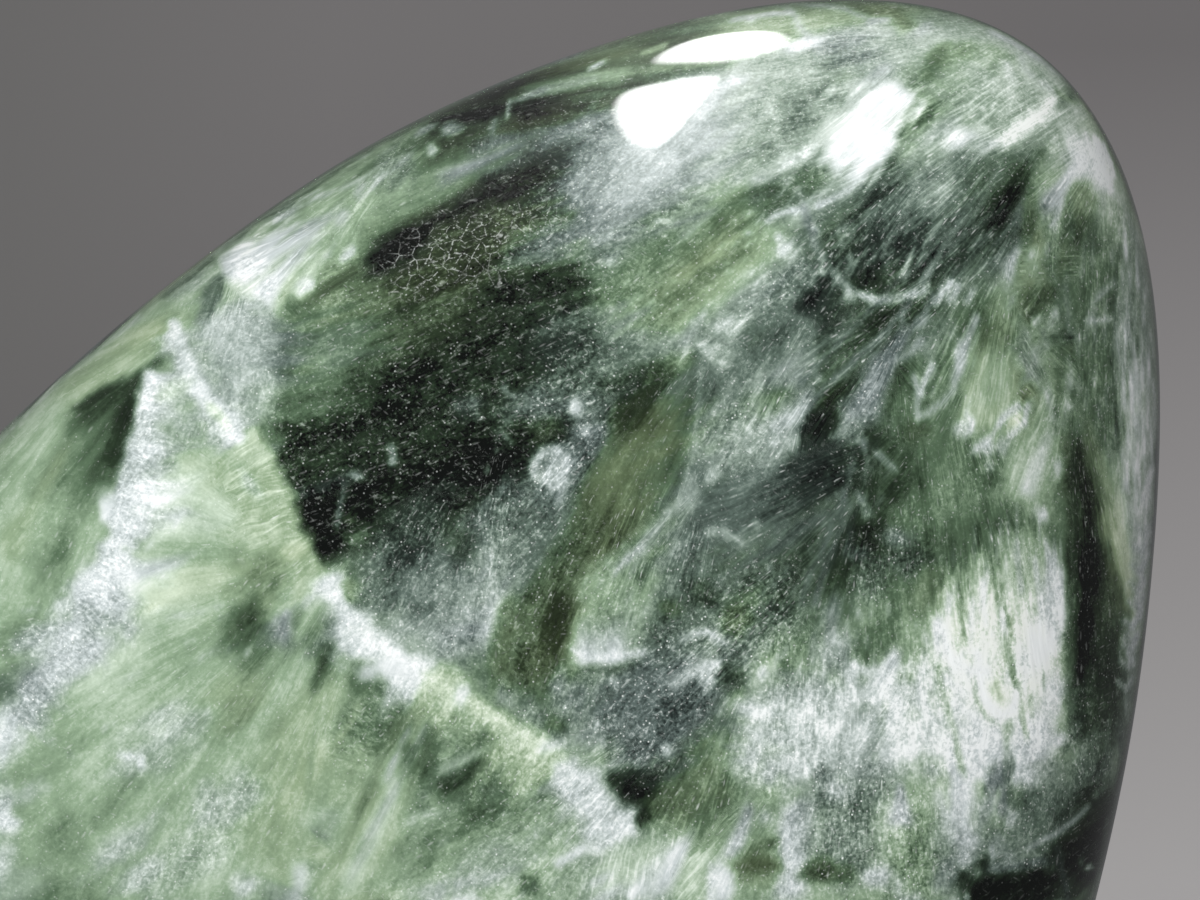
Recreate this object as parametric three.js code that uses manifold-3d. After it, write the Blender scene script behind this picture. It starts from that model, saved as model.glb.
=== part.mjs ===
// A seraphinite palm stone: one pebble of fibrous green chlorite, sawn, ground by hand to a
// rounded drop and polished all over. It lies on its back, its long axis along X with the slim
// end towards +X, its polished face up, and its underside ground flat enough to rest on.
import * as THREE from "three";
import { mergeVertices } from "three/addons/utils/BufferGeometryUtils.js";
import Module from "manifold-3d";

// The driving dimensions, in millimetres and degrees.
// The rim's radii from the pebble's middle, every 15 degrees, counted from the slim end towards +Y.
const RIM_RADII = [
  34.4, 30.6, 26.3, 23.2, 21.3, 20.6, 21.1, 22.7, 25.3, 28.5, 31.8, 34.1,
  35.0, 34.3, 32.2, 29.2, 26.2, 23.8, 22.2, 21.7, 22.3, 24.2, 27.6, 32.5,
];
const FACE_RISE = 9.8; // from the rim's level up to the top of the polished face
const BACK_DROP = 10.6; // from the rim's level down to where the round back would end
const REST_DROP = 9.6; // from the rim's level down to the flat that the back is ground to
const FULLNESS = 2.8; // 2 is an ellipsoid, and more than 2 is flatter with rounder shoulders
// The wheel's soft flats on the shoulders: the way each faces round the pebble, how far it leans
// from straight up, and how far it lies from the pebble's middle.
const GROUND_FLATS = [
  { turn: 47, lean: 44, reach: 19.4 },
  { turn: -52, lean: 50, reach: 21.4 },
  { turn: 112, lean: 40, reach: 17.9 },
  { turn: 196, lean: 46, reach: 26.3 },
  { turn: -118, lean: 38, reach: 17.6 },
  { turn: 20, lean: 132, reach: 26.6 },
  { turn: 150, lean: 136, reach: 22.6 },
  { turn: -96, lean: 130, reach: 19.2 },
];
const FLAT_SOFTNESS = 22; // the higher, the crisper the crease where a flat meets the round
const STEPS_ACROSS = 24; // squares along each edge of the cube that the mesh is blown up from

const radians = THREE.MathUtils.degToRad;

// The rim's radius at an angle: the smooth closed curve that passes through all the radii.
function rimRadius(angle) {
  const count = RIM_RADII.length;
  let radius = 0;
  RIM_RADII.forEach((sample, index) => {
    const half = (angle - (index * 2 * Math.PI) / count) / 2;
    const share = Math.abs(Math.sin(half)) < 1e-9 ? 1 : Math.sin(count * half) / (count * Math.tan(half));
    radius += sample * share;
  });
  return radius;
}

const flats = GROUND_FLATS.map(({ turn, lean, reach }) => ({
  faces: new THREE.Vector3(
    Math.sin(radians(lean)) * Math.cos(radians(turn)),
    Math.sin(radians(lean)) * Math.sin(radians(turn)),
    Math.cos(radians(lean)),
  ),
  reach,
}));

// How far the surface lies from the middle of the pebble in a direction: the round body first,
// then the flats, each blended in by a sum of powers, which leaves soft creases.
function surfaceDistance(direction) {
  const level = Math.hypot(direction.x, direction.y);
  const toRim = level / rimRadius(Math.atan2(direction.y, direction.x));
  const toPole = Math.abs(direction.z) / (direction.z > 0 ? FACE_RISE : BACK_DROP);
  const round = (toRim ** FULLNESS + toPole ** FULLNESS) ** (1 / FULLNESS);
  let blended = round ** FLAT_SOFTNESS;
  for (const flat of flats) {
    blended += Math.max(0, flat.faces.dot(direction) / flat.reach) ** FLAT_SOFTNESS;
  }
  return blended ** (-1 / FLAT_SOFTNESS);
}

// The pebble before its back is ground: a cube's grid of points pushed out onto the surface.
function roundPebble() {
  const cube = new THREE.BoxGeometry(2, 2, 2, STEPS_ACROSS, STEPS_ACROSS, STEPS_ACROSS);
  cube.deleteAttribute("normal");
  cube.deleteAttribute("uv");
  const body = mergeVertices(cube);
  const proportions = new THREE.Vector3(RIM_RADII[12], RIM_RADII[6], FACE_RISE);
  const places = body.getAttribute("position");
  const point = new THREE.Vector3();
  for (let index = 0; index < places.count; index++) {
    point.fromBufferAttribute(places, index);
    // Equal angles along the cube's edges keep the squares about even on the ball.
    point.set(
      Math.tan((point.x * Math.PI) / 4),
      Math.tan((point.y * Math.PI) / 4),
      Math.tan((point.z * Math.PI) / 4),
    );
    point.normalize().multiply(proportions).normalize();
    point.multiplyScalar(surfaceDistance(point));
    places.setXYZ(index, point.x, point.y, point.z);
  }
  return body;
}

const wasm = await Module();
wasm.setup();

// The underside ground flat: everything under the resting level is cut away.
function groundFlat(geometry) {
  const whole = new wasm.Manifold(
    new wasm.Mesh({
      numProp: 3,
      vertProperties: geometry.getAttribute("position").array,
      triVerts: new Uint32Array(geometry.index.array),
    }),
  );
  const cut = whole.trimByPlane([0, 0, 1], -REST_DROP).getMesh();
  const ground = new THREE.BufferGeometry();
  ground.setAttribute("position", new THREE.BufferAttribute(cut.vertProperties, 3));
  ground.setIndex(new THREE.BufferAttribute(cut.triVerts, 1));
  return ground;
}

// The origin goes under the middle of the stone, on the surface that it rests on.
function setOnOrigin(geometry) {
  geometry.computeBoundingBox();
  const middle = geometry.boundingBox.getCenter(new THREE.Vector3());
  geometry.translate(-middle.x, -middle.y, REST_DROP);
  geometry.computeVertexNormals();
  return geometry;
}

const seraphinite = new THREE.MeshStandardMaterial({ color: 0x6f8f6c, roughness: 0.12, metalness: 0 });
const stone = new THREE.Mesh(setOnOrigin(groundFlat(roundPebble())), seraphinite);
stone.name = "stone";

const part = new THREE.Group();
part.add(stone);
export default part;
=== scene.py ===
import bpy
import bmesh
import math
import numpy as np
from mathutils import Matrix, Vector


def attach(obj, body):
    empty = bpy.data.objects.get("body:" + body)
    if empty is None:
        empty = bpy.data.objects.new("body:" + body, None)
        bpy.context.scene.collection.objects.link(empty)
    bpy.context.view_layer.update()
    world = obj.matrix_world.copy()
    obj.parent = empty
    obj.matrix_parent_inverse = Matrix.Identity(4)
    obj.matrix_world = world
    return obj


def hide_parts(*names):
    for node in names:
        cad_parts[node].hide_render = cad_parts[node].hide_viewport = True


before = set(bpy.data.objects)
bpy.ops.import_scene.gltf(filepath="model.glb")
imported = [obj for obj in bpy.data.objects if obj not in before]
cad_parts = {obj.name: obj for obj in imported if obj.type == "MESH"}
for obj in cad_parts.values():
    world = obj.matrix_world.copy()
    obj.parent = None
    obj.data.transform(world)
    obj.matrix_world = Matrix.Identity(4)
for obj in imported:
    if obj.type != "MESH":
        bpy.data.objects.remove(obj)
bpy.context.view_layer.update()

# The stone: one pebble of seraphinite, a fibrous green chlorite, ground by hand to a rounded drop and
# polished all over. Its skin is the same surface as the solid's, in a mesh fine enough to carry the
# plumes. Sizes are in millimetres, from the pebble's middle, and angles in degrees.
RIM_RADII = (
    34.4, 30.6, 26.3, 23.2, 21.3, 20.6, 21.1, 22.7, 25.3, 28.5, 31.8, 34.1,
    35.0, 34.3, 32.2, 29.2, 26.2, 23.8, 22.2, 21.7, 22.3, 24.2, 27.6, 32.5,
)
FACE_RISE = 9.8
BACK_DROP = 10.6
REST_DROP = 9.6
FULLNESS = 2.8
# The wheel's soft flats: the way each faces round the pebble, its lean from straight up, its distance.
GROUND_FLATS = (
    (47, 44, 19.4), (-52, 50, 21.4), (112, 40, 17.9), (196, 46, 26.3),
    (-118, 38, 17.6), (20, 132, 26.6), (150, 136, 22.6), (-96, 130, 19.2),
)
FLAT_SOFTNESS = 22
SKIN_STEPS = (100, 60, 29)
FINE_CUTS = 3
CUT_ABOVE_FLAT = 0.002
SAME_POINT = 1e-5
FINE_ABOVE_RIM = 0.5
SEEN_MARGIN_PX = 12
MM = 0.001

# The photograph shows the slim end from straight above. Its frame is 40 by 30 mm of the stone.
PIXELS_PER_MM = 30.0
FRAME_PX = (1200, 900)
FRAME_MIDDLE_PX = (600.0, 450.0)
FRAME_MIDDLE_MM = (15.4, 3.3)
TURN_OF_LENGTH = math.radians(57)
FRAME_RIGHT = np.array((math.cos(TURN_OF_LENGTH), -math.sin(TURN_OF_LENGTH), 0.0))
FRAME_UP = np.array((math.sin(TURN_OF_LENGTH), math.cos(TURN_OF_LENGTH), 0.0))


def rim_radius(angle):
    """The rim's radius at each angle, on a smooth closed curve through RIM_RADII."""
    radius = np.zeros_like(angle)
    for index, sample in enumerate(RIM_RADII):
        half = (angle - index * 2 * math.pi / len(RIM_RADII)) / 2
        near = np.abs(np.sin(half)) < 1e-9
        spread = len(RIM_RADII) * np.tan(np.where(near, 1.0, half))
        radius += sample * np.where(near, 1.0, np.sin(len(RIM_RADII) * half) / spread)
    return radius


def fullness_at(points):
    """How far out each point lies, as a share of the surface's distance in its direction."""
    level = np.hypot(points[:, 0], points[:, 1])
    to_rim = level / rim_radius(np.arctan2(points[:, 1], points[:, 0]))
    to_pole = np.abs(points[:, 2]) / np.where(points[:, 2] > 0, FACE_RISE, BACK_DROP)
    blended = (to_rim ** FULLNESS + to_pole ** FULLNESS) ** (FLAT_SOFTNESS / FULLNESS)
    for turn, lean, reach in GROUND_FLATS:
        turn, lean = math.radians(turn), math.radians(lean)
        faces = (math.sin(lean) * math.cos(turn), math.sin(lean) * math.sin(turn), math.cos(lean))
        blended += np.maximum(0, points @ np.array(faces) / reach) ** FLAT_SOFTNESS
    return blended ** (1 / FLAT_SOFTNESS)


def on_surface(points):
    """Each point moved straight out or in from the middle, to the surface or the ground flat."""
    moved = points / fullness_at(points)[:, None]
    drop = moved[:, 2] / -REST_DROP
    return moved / np.maximum(drop, 1.0)[:, None]


def outward(points):
    """The surface's own normals, from the slope of its formula."""
    reach = 0.01
    slope = np.empty_like(points)
    for axis in range(3):
        step = np.zeros(3)
        step[axis] = reach
        slope[:, axis] = fullness_at(points + step) - fullness_at(points - step)
    return slope / np.linalg.norm(slope, axis=1)[:, None]


def to_frame(points):
    """Millimetres from the middle of the pebble to pixels of the photograph's frame."""
    shifted = points[:, :2] + PEBBLE_MIDDLE[:2] - np.array(FRAME_MIDDLE_MM)
    right = shifted @ FRAME_RIGHT[:2] * PIXELS_PER_MM + FRAME_MIDDLE_PX[0]
    down = FRAME_MIDDLE_PX[1] - shifted @ FRAME_UP[:2] * PIXELS_PER_MM
    return np.stack((right, down), axis=1)


def blown_cube(steps):
    """A box's grid blown up to the pebble: vertices and quads, with the edges shared."""
    ticks = [np.tan(np.linspace(-1, 1, number + 1) * math.pi / 4) for number in steps]
    found = {}
    corners = []
    quads = []

    def corner(key):
        if key not in found:
            found[key] = len(corners)
            corners.append([ticks[axis][index] for axis, index in enumerate(key)])
        return found[key]

    for axis in range(3):
        next_axis, last_axis = (axis + 1) % 3, (axis + 2) % 3
        for side in (0, steps[axis]):
            for row in range(steps[next_axis]):
                for column in range(steps[last_axis]):
                    ring = []
                    for step_row, step_column in ((0, 0), (1, 0), (1, 1), (0, 1)):
                        key = [0, 0, 0]
                        key[axis] = side
                        key[next_axis] = row + step_row
                        key[last_axis] = column + step_column
                        ring.append(corner(tuple(key)))
                    quads.append(ring if side else ring[::-1])
    points = np.array(corners)
    points /= np.linalg.norm(points, axis=1)[:, None]
    return points * np.array((RIM_RADII[12], RIM_RADII[6], FACE_RISE)), quads


# The middle of the pebble stands over the middle of the solid's box, at the rim's level.
coarse, coarse_quads = blown_cube(SKIN_STEPS)
coarse = on_surface(coarse)
PEBBLE_MIDDLE = np.append(-(coarse.min(axis=0) + coarse.max(axis=0))[:2] / 2, REST_DROP)

skin_mesh = bpy.data.meshes.new("stone_skin")
sketch = bmesh.new()
sketch_points = [sketch.verts.new(point) for point in coarse]
for quad in coarse_quads:
    sketch.faces.new([sketch_points[index] for index in quad])
whole = sketch.verts[:] + sketch.edges[:] + sketch.faces[:]
cut_middle = (0, 0, CUT_ABOVE_FLAT - REST_DROP)
bmesh.ops.bisect_plane(sketch, geom=whole, plane_co=cut_middle, plane_no=(0, 0, 1), dist=SAME_POINT)
sketch.faces.ensure_lookup_table()
middles = np.array([face.calc_center_median() for face in sketch.faces])
seen = to_frame(middles)
in_frame = (middles[:, 2] > FINE_ABOVE_RIM) & (seen > -SEEN_MARGIN_PX).all(axis=1)
in_frame &= (seen < np.array(FRAME_PX) + SEEN_MARGIN_PX).all(axis=1)
shown_edges = {edge for index in np.flatnonzero(in_frame) for edge in sketch.faces[index].edges}
bmesh.ops.subdivide_edges(sketch, edges=list(shown_edges), cuts=FINE_CUTS, use_grid_fill=True)
bmesh.ops.triangulate(sketch, faces=[face for face in sketch.faces if len(face.verts) > 4])
sketch.to_mesh(skin_mesh)
sketch.free()

count = len(skin_mesh.vertices)
points = np.empty(count * 3)
skin_mesh.vertices.foreach_get("co", points)
points = on_surface(points.reshape(-1, 3))
normals = outward(points)
ground = points[:, 2] < CUT_ABOVE_FLAT / 2 - REST_DROP
skin_mesh.vertices.foreach_set("co", ((points + PEBBLE_MIDDLE) * MM).ravel())

# The round skin keeps its own normals, and the ground flat has a crisp edge.
corner_of = np.empty(len(skin_mesh.loops), int)
skin_mesh.loops.foreach_get("vertex_index", corner_of)
face_start = np.empty(len(skin_mesh.polygons), int)
face_size = np.empty(len(skin_mesh.polygons), int)
skin_mesh.polygons.foreach_get("loop_start", face_start)
skin_mesh.polygons.foreach_get("loop_total", face_size)
flat_face = np.logical_and.reduceat(ground[corner_of], face_start)
corner_normals = normals[corner_of]
corner_normals[np.repeat(flat_face, face_size)] = (0, 0, -1)
skin_mesh.polygons.foreach_set("use_smooth", [True] * len(skin_mesh.polygons))
skin_mesh.normals_split_custom_set(corner_normals.tolist())

# The plumes: seraphinite's fibres grow in fans that open from a root, dark where they dive into the
# stone and silvery where they lie along the polished face; that silver is partly their own colour and
# partly painted sheen, the shine that flat fibres throw back. Each fan is laid over the last, as the eye
# reads them, and leaves at each point its tone, tint and grain and the way that its fibres run.
PLAIN_TONE = 0.42
PLAIN_GRAIN = 0.25
HIDDEN_HAIR = 0.45
SEED_STEP = 977.0
tone = np.full(count, PLAIN_TONE)
tint = np.zeros(count)
grain = np.full(count, PLAIN_GRAIN)
hairy = np.full(count, HIDDEN_HAIR)
net = np.zeros(count)
across = np.zeros(count)
along = np.zeros(count)
heading = np.zeros((count, 3))
plumes_laid = 0
SCRAMBLERS = (374761393, 668265263, 1442695041, 1274126177)
LOW_BITS = 0xFFFFFFFF


def lattice(x, y, salt):
    """Smooth random values between -1 and 1 that change over about one unit."""
    cell_x = np.floor(x).astype(np.int64)
    cell_y = np.floor(y).astype(np.int64)
    part_x = x - cell_x
    part_y = y - cell_y
    ease_x = part_x * part_x * (3 - 2 * part_x)
    ease_y = part_y * part_y * (3 - 2 * part_y)

    def corner(step_x, step_y):
        by_x, by_y, by_salt, again = SCRAMBLERS
        bits = ((cell_x + step_x) * by_x + (cell_y + step_y) * by_y + salt * by_salt) & LOW_BITS
        bits = ((bits ^ (bits >> 13)) * again) & LOW_BITS
        return ((bits ^ (bits >> 16)) & 0xFFFF) / 32767.5 - 1

    low = corner(0, 0) * (1 - ease_x) + corner(1, 0) * ease_x
    high = corner(0, 1) * (1 - ease_x) + corner(1, 1) * ease_x
    return low * (1 - ease_y) + high * ease_y


def rise(value, start, end):
    """A soft step from 0 at start to 1 at end."""
    share = np.clip((value - start) / (end - start), 0, 1)
    return share * share * (3 - 2 * share)


def new_salt():
    """A number of its own for the next plume, which its random values grow from."""
    global plumes_laid
    plumes_laid += 1
    return plumes_laid * 7


def blend(near, weight, to_tone, to_tint, grain_to=None):
    """Moves the points near a plume towards its tone, tint and grain, each by its own weight."""
    tone[near] += (to_tone - tone[near]) * weight
    tint[near] += (to_tint - tint[near]) * weight
    if grain_to is not None:
        grain[near] += (grain_to - grain[near]) * weight


# A fan's bundles of fibres: how wide and long each sort is in pixels, its share, and its salt.
BUNDLES = ((26.0, 240.0, 1.0, 1), (11.0, 130.0, 0.9, 2), (5.5, 60.0, 0.5, 4))
BUNDLE_TONE = 0.07
LEAST_GROWTH = 0.02
FAN_TAKES = 0.45


def lay_fan(flat, near, right, down, root, tip, widths, tones, to_tint, ragged, edge, cover, grain_to,
            ends=(0.2, 0.2)):
    """Lays one fan of fibres on the points near it, which flat gives in pixels of the frame."""
    salt = new_salt()
    root = np.array(root, float)
    tip = np.array(tip, float)
    length = np.hypot(*(tip - root))
    forward = (tip - root) / length
    growth = max((widths[1] - widths[0]) / length, LEAST_GROWTH)
    behind = widths[0] / growth
    start = root - forward * behind
    opening = math.atan(growth / 2)
    reach = 1.3 * length + max(widths)
    middle_px = (root + tip) / 2
    inside = np.abs(flat - middle_px).max(axis=1) < reach
    near, flat = near[inside], flat[inside]
    if not near.size:
        return
    x, y = flat[:, 0], flat[:, 1]
    ahead = (flat - start) @ forward
    aside = (flat - start) @ np.array((-forward[1], forward[0]))
    far = np.hypot(ahead, aside)
    travel = (far - behind) / length
    angle = np.arctan2(aside, ahead)
    middle = behind + 0.6 * length
    comb = 0
    for wide, long, part, number in BUNDLES:
        comb += part * lattice(angle * middle / wide, far / long, salt + number)
    rough = lattice(x / 22.0, y / 22.0, salt + 3)
    pushed = travel + ragged * (0.6 * comb + 0.5 * rough)
    pulled = np.abs(angle / opening) + 0.2 * edge * (comb * 0.5 + rough)
    weight = rise(pushed, -ends[0], ends[0] * 0.6) * (1 - rise(pushed, 1 - ends[1], 1 + ends[1] * 0.6))
    weight *= (1 - rise(pulled, 1 - edge, 1 + edge * 0.5)) * cover[near]
    share = np.clip(travel + 0.4 * ragged * comb, 0, 1)
    to_tone = np.interp(share, np.linspace(0, 1, len(tones)), tones) + BUNDLE_TONE * comb
    blend(near, weight, to_tone, to_tint, grain_to)
    taken = weight > FAN_TAKES
    mine = near[taken]
    across[mine] = (angle * middle)[taken] + plumes_laid * SEED_STEP
    along[mine] = far[taken]
    spoke = (flat[taken] - start) / far[taken, None]
    heading[mine] = spoke[:, :1] * right + spoke[:, 1:] * down


# Where the photograph doesn't reach, the fans open from a few centres, as they do where it does. Their
# places, sizes and tones are drawn at random, the broad grounds first.
HIDDEN_SEED = 20
CENTRES = 26
HIDDEN_FANS = 620
GROUND_SHARE = 0.35
FAN_LENGTHS_PX = (150, 330)
FAN_SLIMNESS = (0.12, 0.5)
LARGEST_FAN_MM = 18
SAME_SIDE = 0.25
draw = np.random.default_rng(HIDDEN_SEED)
coarse_normals = outward(coarse)
centres = coarse[draw.integers(len(coarse), size=CENTRES)]
everywhere = np.arange(count)
full_cover = np.ones(count)
for number in range(HIDDEN_FANS):
    share = number / HIDDEN_FANS
    pick = draw.integers(len(coarse))
    spot, up = coarse[pick], coarse_normals[pick]
    gap = spot - centres[np.argmin(np.linalg.norm(centres - spot, axis=1))]
    gap -= up * (gap @ up)
    turn = draw.normal(0, 0.3)
    right = gap / max(np.linalg.norm(gap), 1e-6)
    down = np.cross(up, right)
    size = draw.uniform(*FAN_LENGTHS_PX) * (1.3 - 0.9 * share)
    slim = draw.uniform(*FAN_SLIMNESS)
    light = draw.random()
    if share < GROUND_SHARE:
        tones = draw.uniform(0.30, 0.6) + np.array((-0.05, 0.0, 0.04))
    elif light < 0.3:
        tones = np.array((0.3, 0.16, 0.14)) + draw.uniform(-0.04, 0.1)
    elif light < 0.62:
        tones = np.array((0.34, 0.46, 0.60)) + draw.uniform(-0.08, 0.12)
    else:
        tones = np.array((0.38, 0.58, 0.90)) + draw.uniform(-0.06, 0.1)
    kind = draw.choice([-1.0, -0.5, 0.0, 0.0, 0.5, 1.0])
    beside = points - spot
    close = everywhere[(np.linalg.norm(beside, axis=1) < LARGEST_FAN_MM) & (normals @ up > SAME_SIDE)]
    flat = np.stack((beside[close] @ right, beside[close] @ down), axis=1) * PIXELS_PER_MM
    tip = (size * math.cos(turn), size * math.sin(turn))
    lay_fan(flat, close, right, down, (0, 0), tip, (size * slim * 0.3, size * slim), tones, kind,
            draw.uniform(0.05, 0.14), 0.35, full_cover, draw.uniform(0.05, 0.5))

# The plumes that the photograph shows, from the largest grounds to the smallest flashes. Each table is
# one stretch of the stone, in pixels of the photograph's frame, laid in the order of its rows.
SHOWN_HAIR = 0.06
FRAME_FADE_PX = (-20, 60)
CELL_PX = 12.0
CELLS_ACROSS = 200
FINEST_PX = 4.2
BRIGHT_TONE = 0.8
BRIGHT_GRAIN = 0.75
CREST_HAIR = 0.16
CREST_TAKES = 0.4
NOT_NEAR = 1e9
CREST_LIES_AT = 400
FACES_UP = 0.05
COVER_FADE = (0.08, 0.32)
in_view = to_frame(points)
facing = everywhere[normals[:, 2] > FACES_UP]
shown_cover = rise(normals[:, 2], *COVER_FADE)
beyond_px = np.abs(in_view - FRAME_MIDDLE_PX) - FRAME_MIDDLE_PX
hairy += (SHOWN_HAIR - hairy) * shown_cover * (1 - rise(beyond_px.max(axis=1), *FRAME_FADE_PX))
cell_of = np.floor(in_view[facing] / CELL_PX).astype(int) + CELLS_ACROSS // 2
cell_number = cell_of[:, 1] * CELLS_ACROSS + cell_of[:, 0]
in_order = np.argsort(cell_number, kind="stable")
facing, cell_number = facing[in_order], cell_number[in_order]


def near_box(low, high):
    """The points whose places in the frame are in the cells from low to high."""
    left, top = (np.floor(np.array(low) / CELL_PX).astype(int) + CELLS_ACROSS // 2).tolist()
    right, bottom = (np.floor(np.array(high) / CELL_PX).astype(int) + CELLS_ACROSS // 2).tolist()
    rows = np.arange(max(top, 0), min(bottom, CELLS_ACROSS - 1) + 1) * CELLS_ACROSS
    first = np.searchsorted(cell_number, rows + max(left, 0), side="left")
    last = np.searchsorted(cell_number, rows + min(right, CELLS_ACROSS - 1), side="right")
    return np.concatenate([facing[a:b] for a, b in zip(first, last)] or [facing[:0]])


def fan(root_x, root_y, tip_x, tip_y, root_width, tip_width, tones, to_tint, grain_to, ragged, edge,
        ends=(0.2, 0.2)):
    """A fan of fibres from root to tip: its width at both, its tones on the way, its tint and grain, how
    ragged it is and how soft its sides and its two ends are."""
    both = np.array(((root_x, root_y), (tip_x, tip_y)), float)
    margin = 0.8 * max(root_width, tip_width) + 0.2 * np.linalg.norm(both[1] - both[0])
    near = near_box(both.min(axis=0) - margin, both.max(axis=0) + margin)
    lay_fan(in_view[near], near, FRAME_RIGHT, -FRAME_UP, both[0], both[1], (root_width, tip_width), tones,
            to_tint, ragged, edge, shown_cover, grain_to, ends)


def patch(x, y, half, other_half, lean):
    """The points of a soft oval with a frayed edge, their share in it, and its fibres."""
    salt = new_salt()
    long, short = max(half, other_half), max(min(half, other_half), FINEST_PX)
    near = near_box((x - 1.6 * long, y - 1.6 * long), (x + 1.6 * long, y + 1.6 * long))
    gap = in_view[near] - (x, y)
    lean = math.radians(lean)
    ahead = gap[:, 0] * math.cos(lean) - gap[:, 1] * math.sin(lean)
    aside = gap[:, 0] * math.sin(lean) + gap[:, 1] * math.cos(lean)
    waver = 0.24 * lattice(gap[:, 0] / (0.9 * short), gap[:, 1] / (0.9 * short), salt)
    waver += 0.12 * lattice(gap[:, 0] / 7.0, gap[:, 1] / 7.0, salt + 1)
    comb = lattice(aside / 4.5, ahead / 45.0, salt + 2) + 0.7 * lattice(aside / 9.0, ahead / 90.0, salt + 3)
    far = np.hypot(ahead / long, aside / short) + waver + 0.30 * comb
    return near, (1 - rise(far, 0.35, 1.4)) * shown_cover[near], comb


def wash(x, y, half, other_half, lean, to_tone, to_tint, cover=0.8, grain_to=None):
    """A soft patch: its middle, its half widths, the lean of the longer one, its tone, tint and grain."""
    near, weight, comb = patch(x, y, half, other_half, lean)
    if grain_to is None and to_tone > BRIGHT_TONE:
        grain_to = BRIGHT_GRAIN
    blend(near, cover * weight, to_tone + BUNDLE_TONE * comb, to_tint, grain_to)


def brush(into, x, y, half, other_half, lean, share):
    """A soft patch where one value is moved: how hairy, cracked, grainy or warm the stone is there."""
    near, weight, _ = patch(x, y, half, other_half, lean)
    into[near] += (share - into[near]) * weight


def shift_tone(x, y, half, other_half, lean, lift):
    """A soft patch whose tone is lifted or deepened by a given amount."""
    near, weight, _ = patch(x, y, half, other_half, lean)
    tone[near] += lift * weight


def beside_chain(flat, path):
    """For each point, how far it lies from a chain, more than 0 on its right-hand side, where along the
    chain that is, and the way out from it. Last comes the chain's whole length."""
    gap = np.full(len(flat), NOT_NEAR)
    place = np.zeros(len(flat))
    way_out = np.zeros((len(flat), 2))
    start = 0.0
    for first, last in zip(path[:-1], path[1:]):
        span = last - first
        share = np.clip((flat - first) @ span / (span @ span), 0, 1)
        away = flat - first - share[:, None] * span
        far = np.linalg.norm(away, axis=1)
        length = np.hypot(*span)
        closer = far < np.abs(gap)
        side = np.sign(away @ np.array((-span[1], span[0])) + 1e-9)
        gap = np.where(closer, far * side, gap)
        place = np.where(closer, start + share * length, place)
        way_out[closer] = (away / (far[:, None] + 1e-6))[closer]
        start += length
    return gap, place, way_out, start


def seam(chain, width, to_tone, to_tint, cover=0.8):
    """A thin line along a chain of points of the frame: a bright seam, a healed crack or a single hair.
    Some of these lines are painted highlights, and one is a line of painted shade.
    """
    salt = new_salt()
    path = np.array(chain, float).reshape(-1, 2)
    near = near_box(path.min(axis=0) - 2 * width - 4, path.max(axis=0) + 2 * width + 4)
    flat = in_view[near].copy()
    x, y = in_view[near, 0], in_view[near, 1]
    flat[:, 0] += 1.2 * lattice(x / 14.0, y / 14.0, salt + 1)
    flat[:, 1] += 1.2 * lattice(x / 14.0, y / 14.0, salt + 2)
    gap = np.abs(beside_chain(flat, path)[0])
    reach = max(width, FINEST_PX)
    uneven = 1 + 0.25 * lattice(x / 9.0, y / 9.0, salt + 4)
    weight = np.clip(cover * uneven * (1 - rise(gap, 0.3 * reach, 1.1 * reach)), 0, 1)
    grain_to = BRIGHT_GRAIN if to_tone > BRIGHT_TONE else None
    blend(near, weight * shown_cover[near], to_tone, to_tint, grain_to)


def crest(chain, above, below, tones, to_tint, grain_to):
    """A crest where two fields of fibres meet: its chain of points, and how far its hairs reach above
    and below it, their tones from the crest outwards."""
    salt = new_salt()
    path = np.array(chain, float).reshape(-1, 2)
    far = 1.5 * max(above, below)
    near = near_box(path.min(axis=0) - far, path.max(axis=0) + far)
    x, y = in_view[near].T / 18.0
    flat = in_view[near] + 3.0 * np.stack([lattice(x, y, salt + n) for n in (1, 2)], axis=1)
    gap, place, way_out, chain_length = beside_chain(flat, path)
    x, y = flat[:, 0], flat[:, 1]
    comb = 0.6 * lattice(place / 5.0, gap / 30.0, salt + 3) + lattice(place / 13.0, gap / 50.0, salt + 4)
    rough = lattice(x / 7.0, y / 7.0, salt + 6) + lattice(x / 17.0, y / 17.0, salt + 7)
    tufts = lattice(place / 24.0, gap / 90.0, salt + 5)
    reach = np.where(gap > 0, below, above) * (1 + 0.3 * comb + 0.6 * tufts)
    frayed = np.abs(gap) / np.maximum(reach, 4.0) + 0.22 * rough
    beyond = (place <= 0.5) | (place >= chain_length - 0.5)
    weight = 0.9 * (1 - rise(frayed, 0.2, 1.3)) * np.where(beyond, 1 - rise(np.abs(gap), 3, 12), 1.0)
    weight *= shown_cover[near]
    to_tone = np.interp(frayed, np.linspace(0, 1, len(tones)), tones) + 0.04 * comb + 0.06 * rough
    blend(near, weight, to_tone, to_tint, grain_to)
    taken = weight > CREST_TAKES
    mine = near[taken]
    across[mine] = place[taken] + plumes_laid * SEED_STEP
    along[mine] = gap[taken] + CREST_LIES_AT
    heading[mine] = (way_out[:, :1] * FRAME_RIGHT - way_out[:, 1:] * FRAME_UP)[taken]
    hairy[mine] += (CREST_HAIR - hairy[mine]) * weight[taken]


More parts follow.
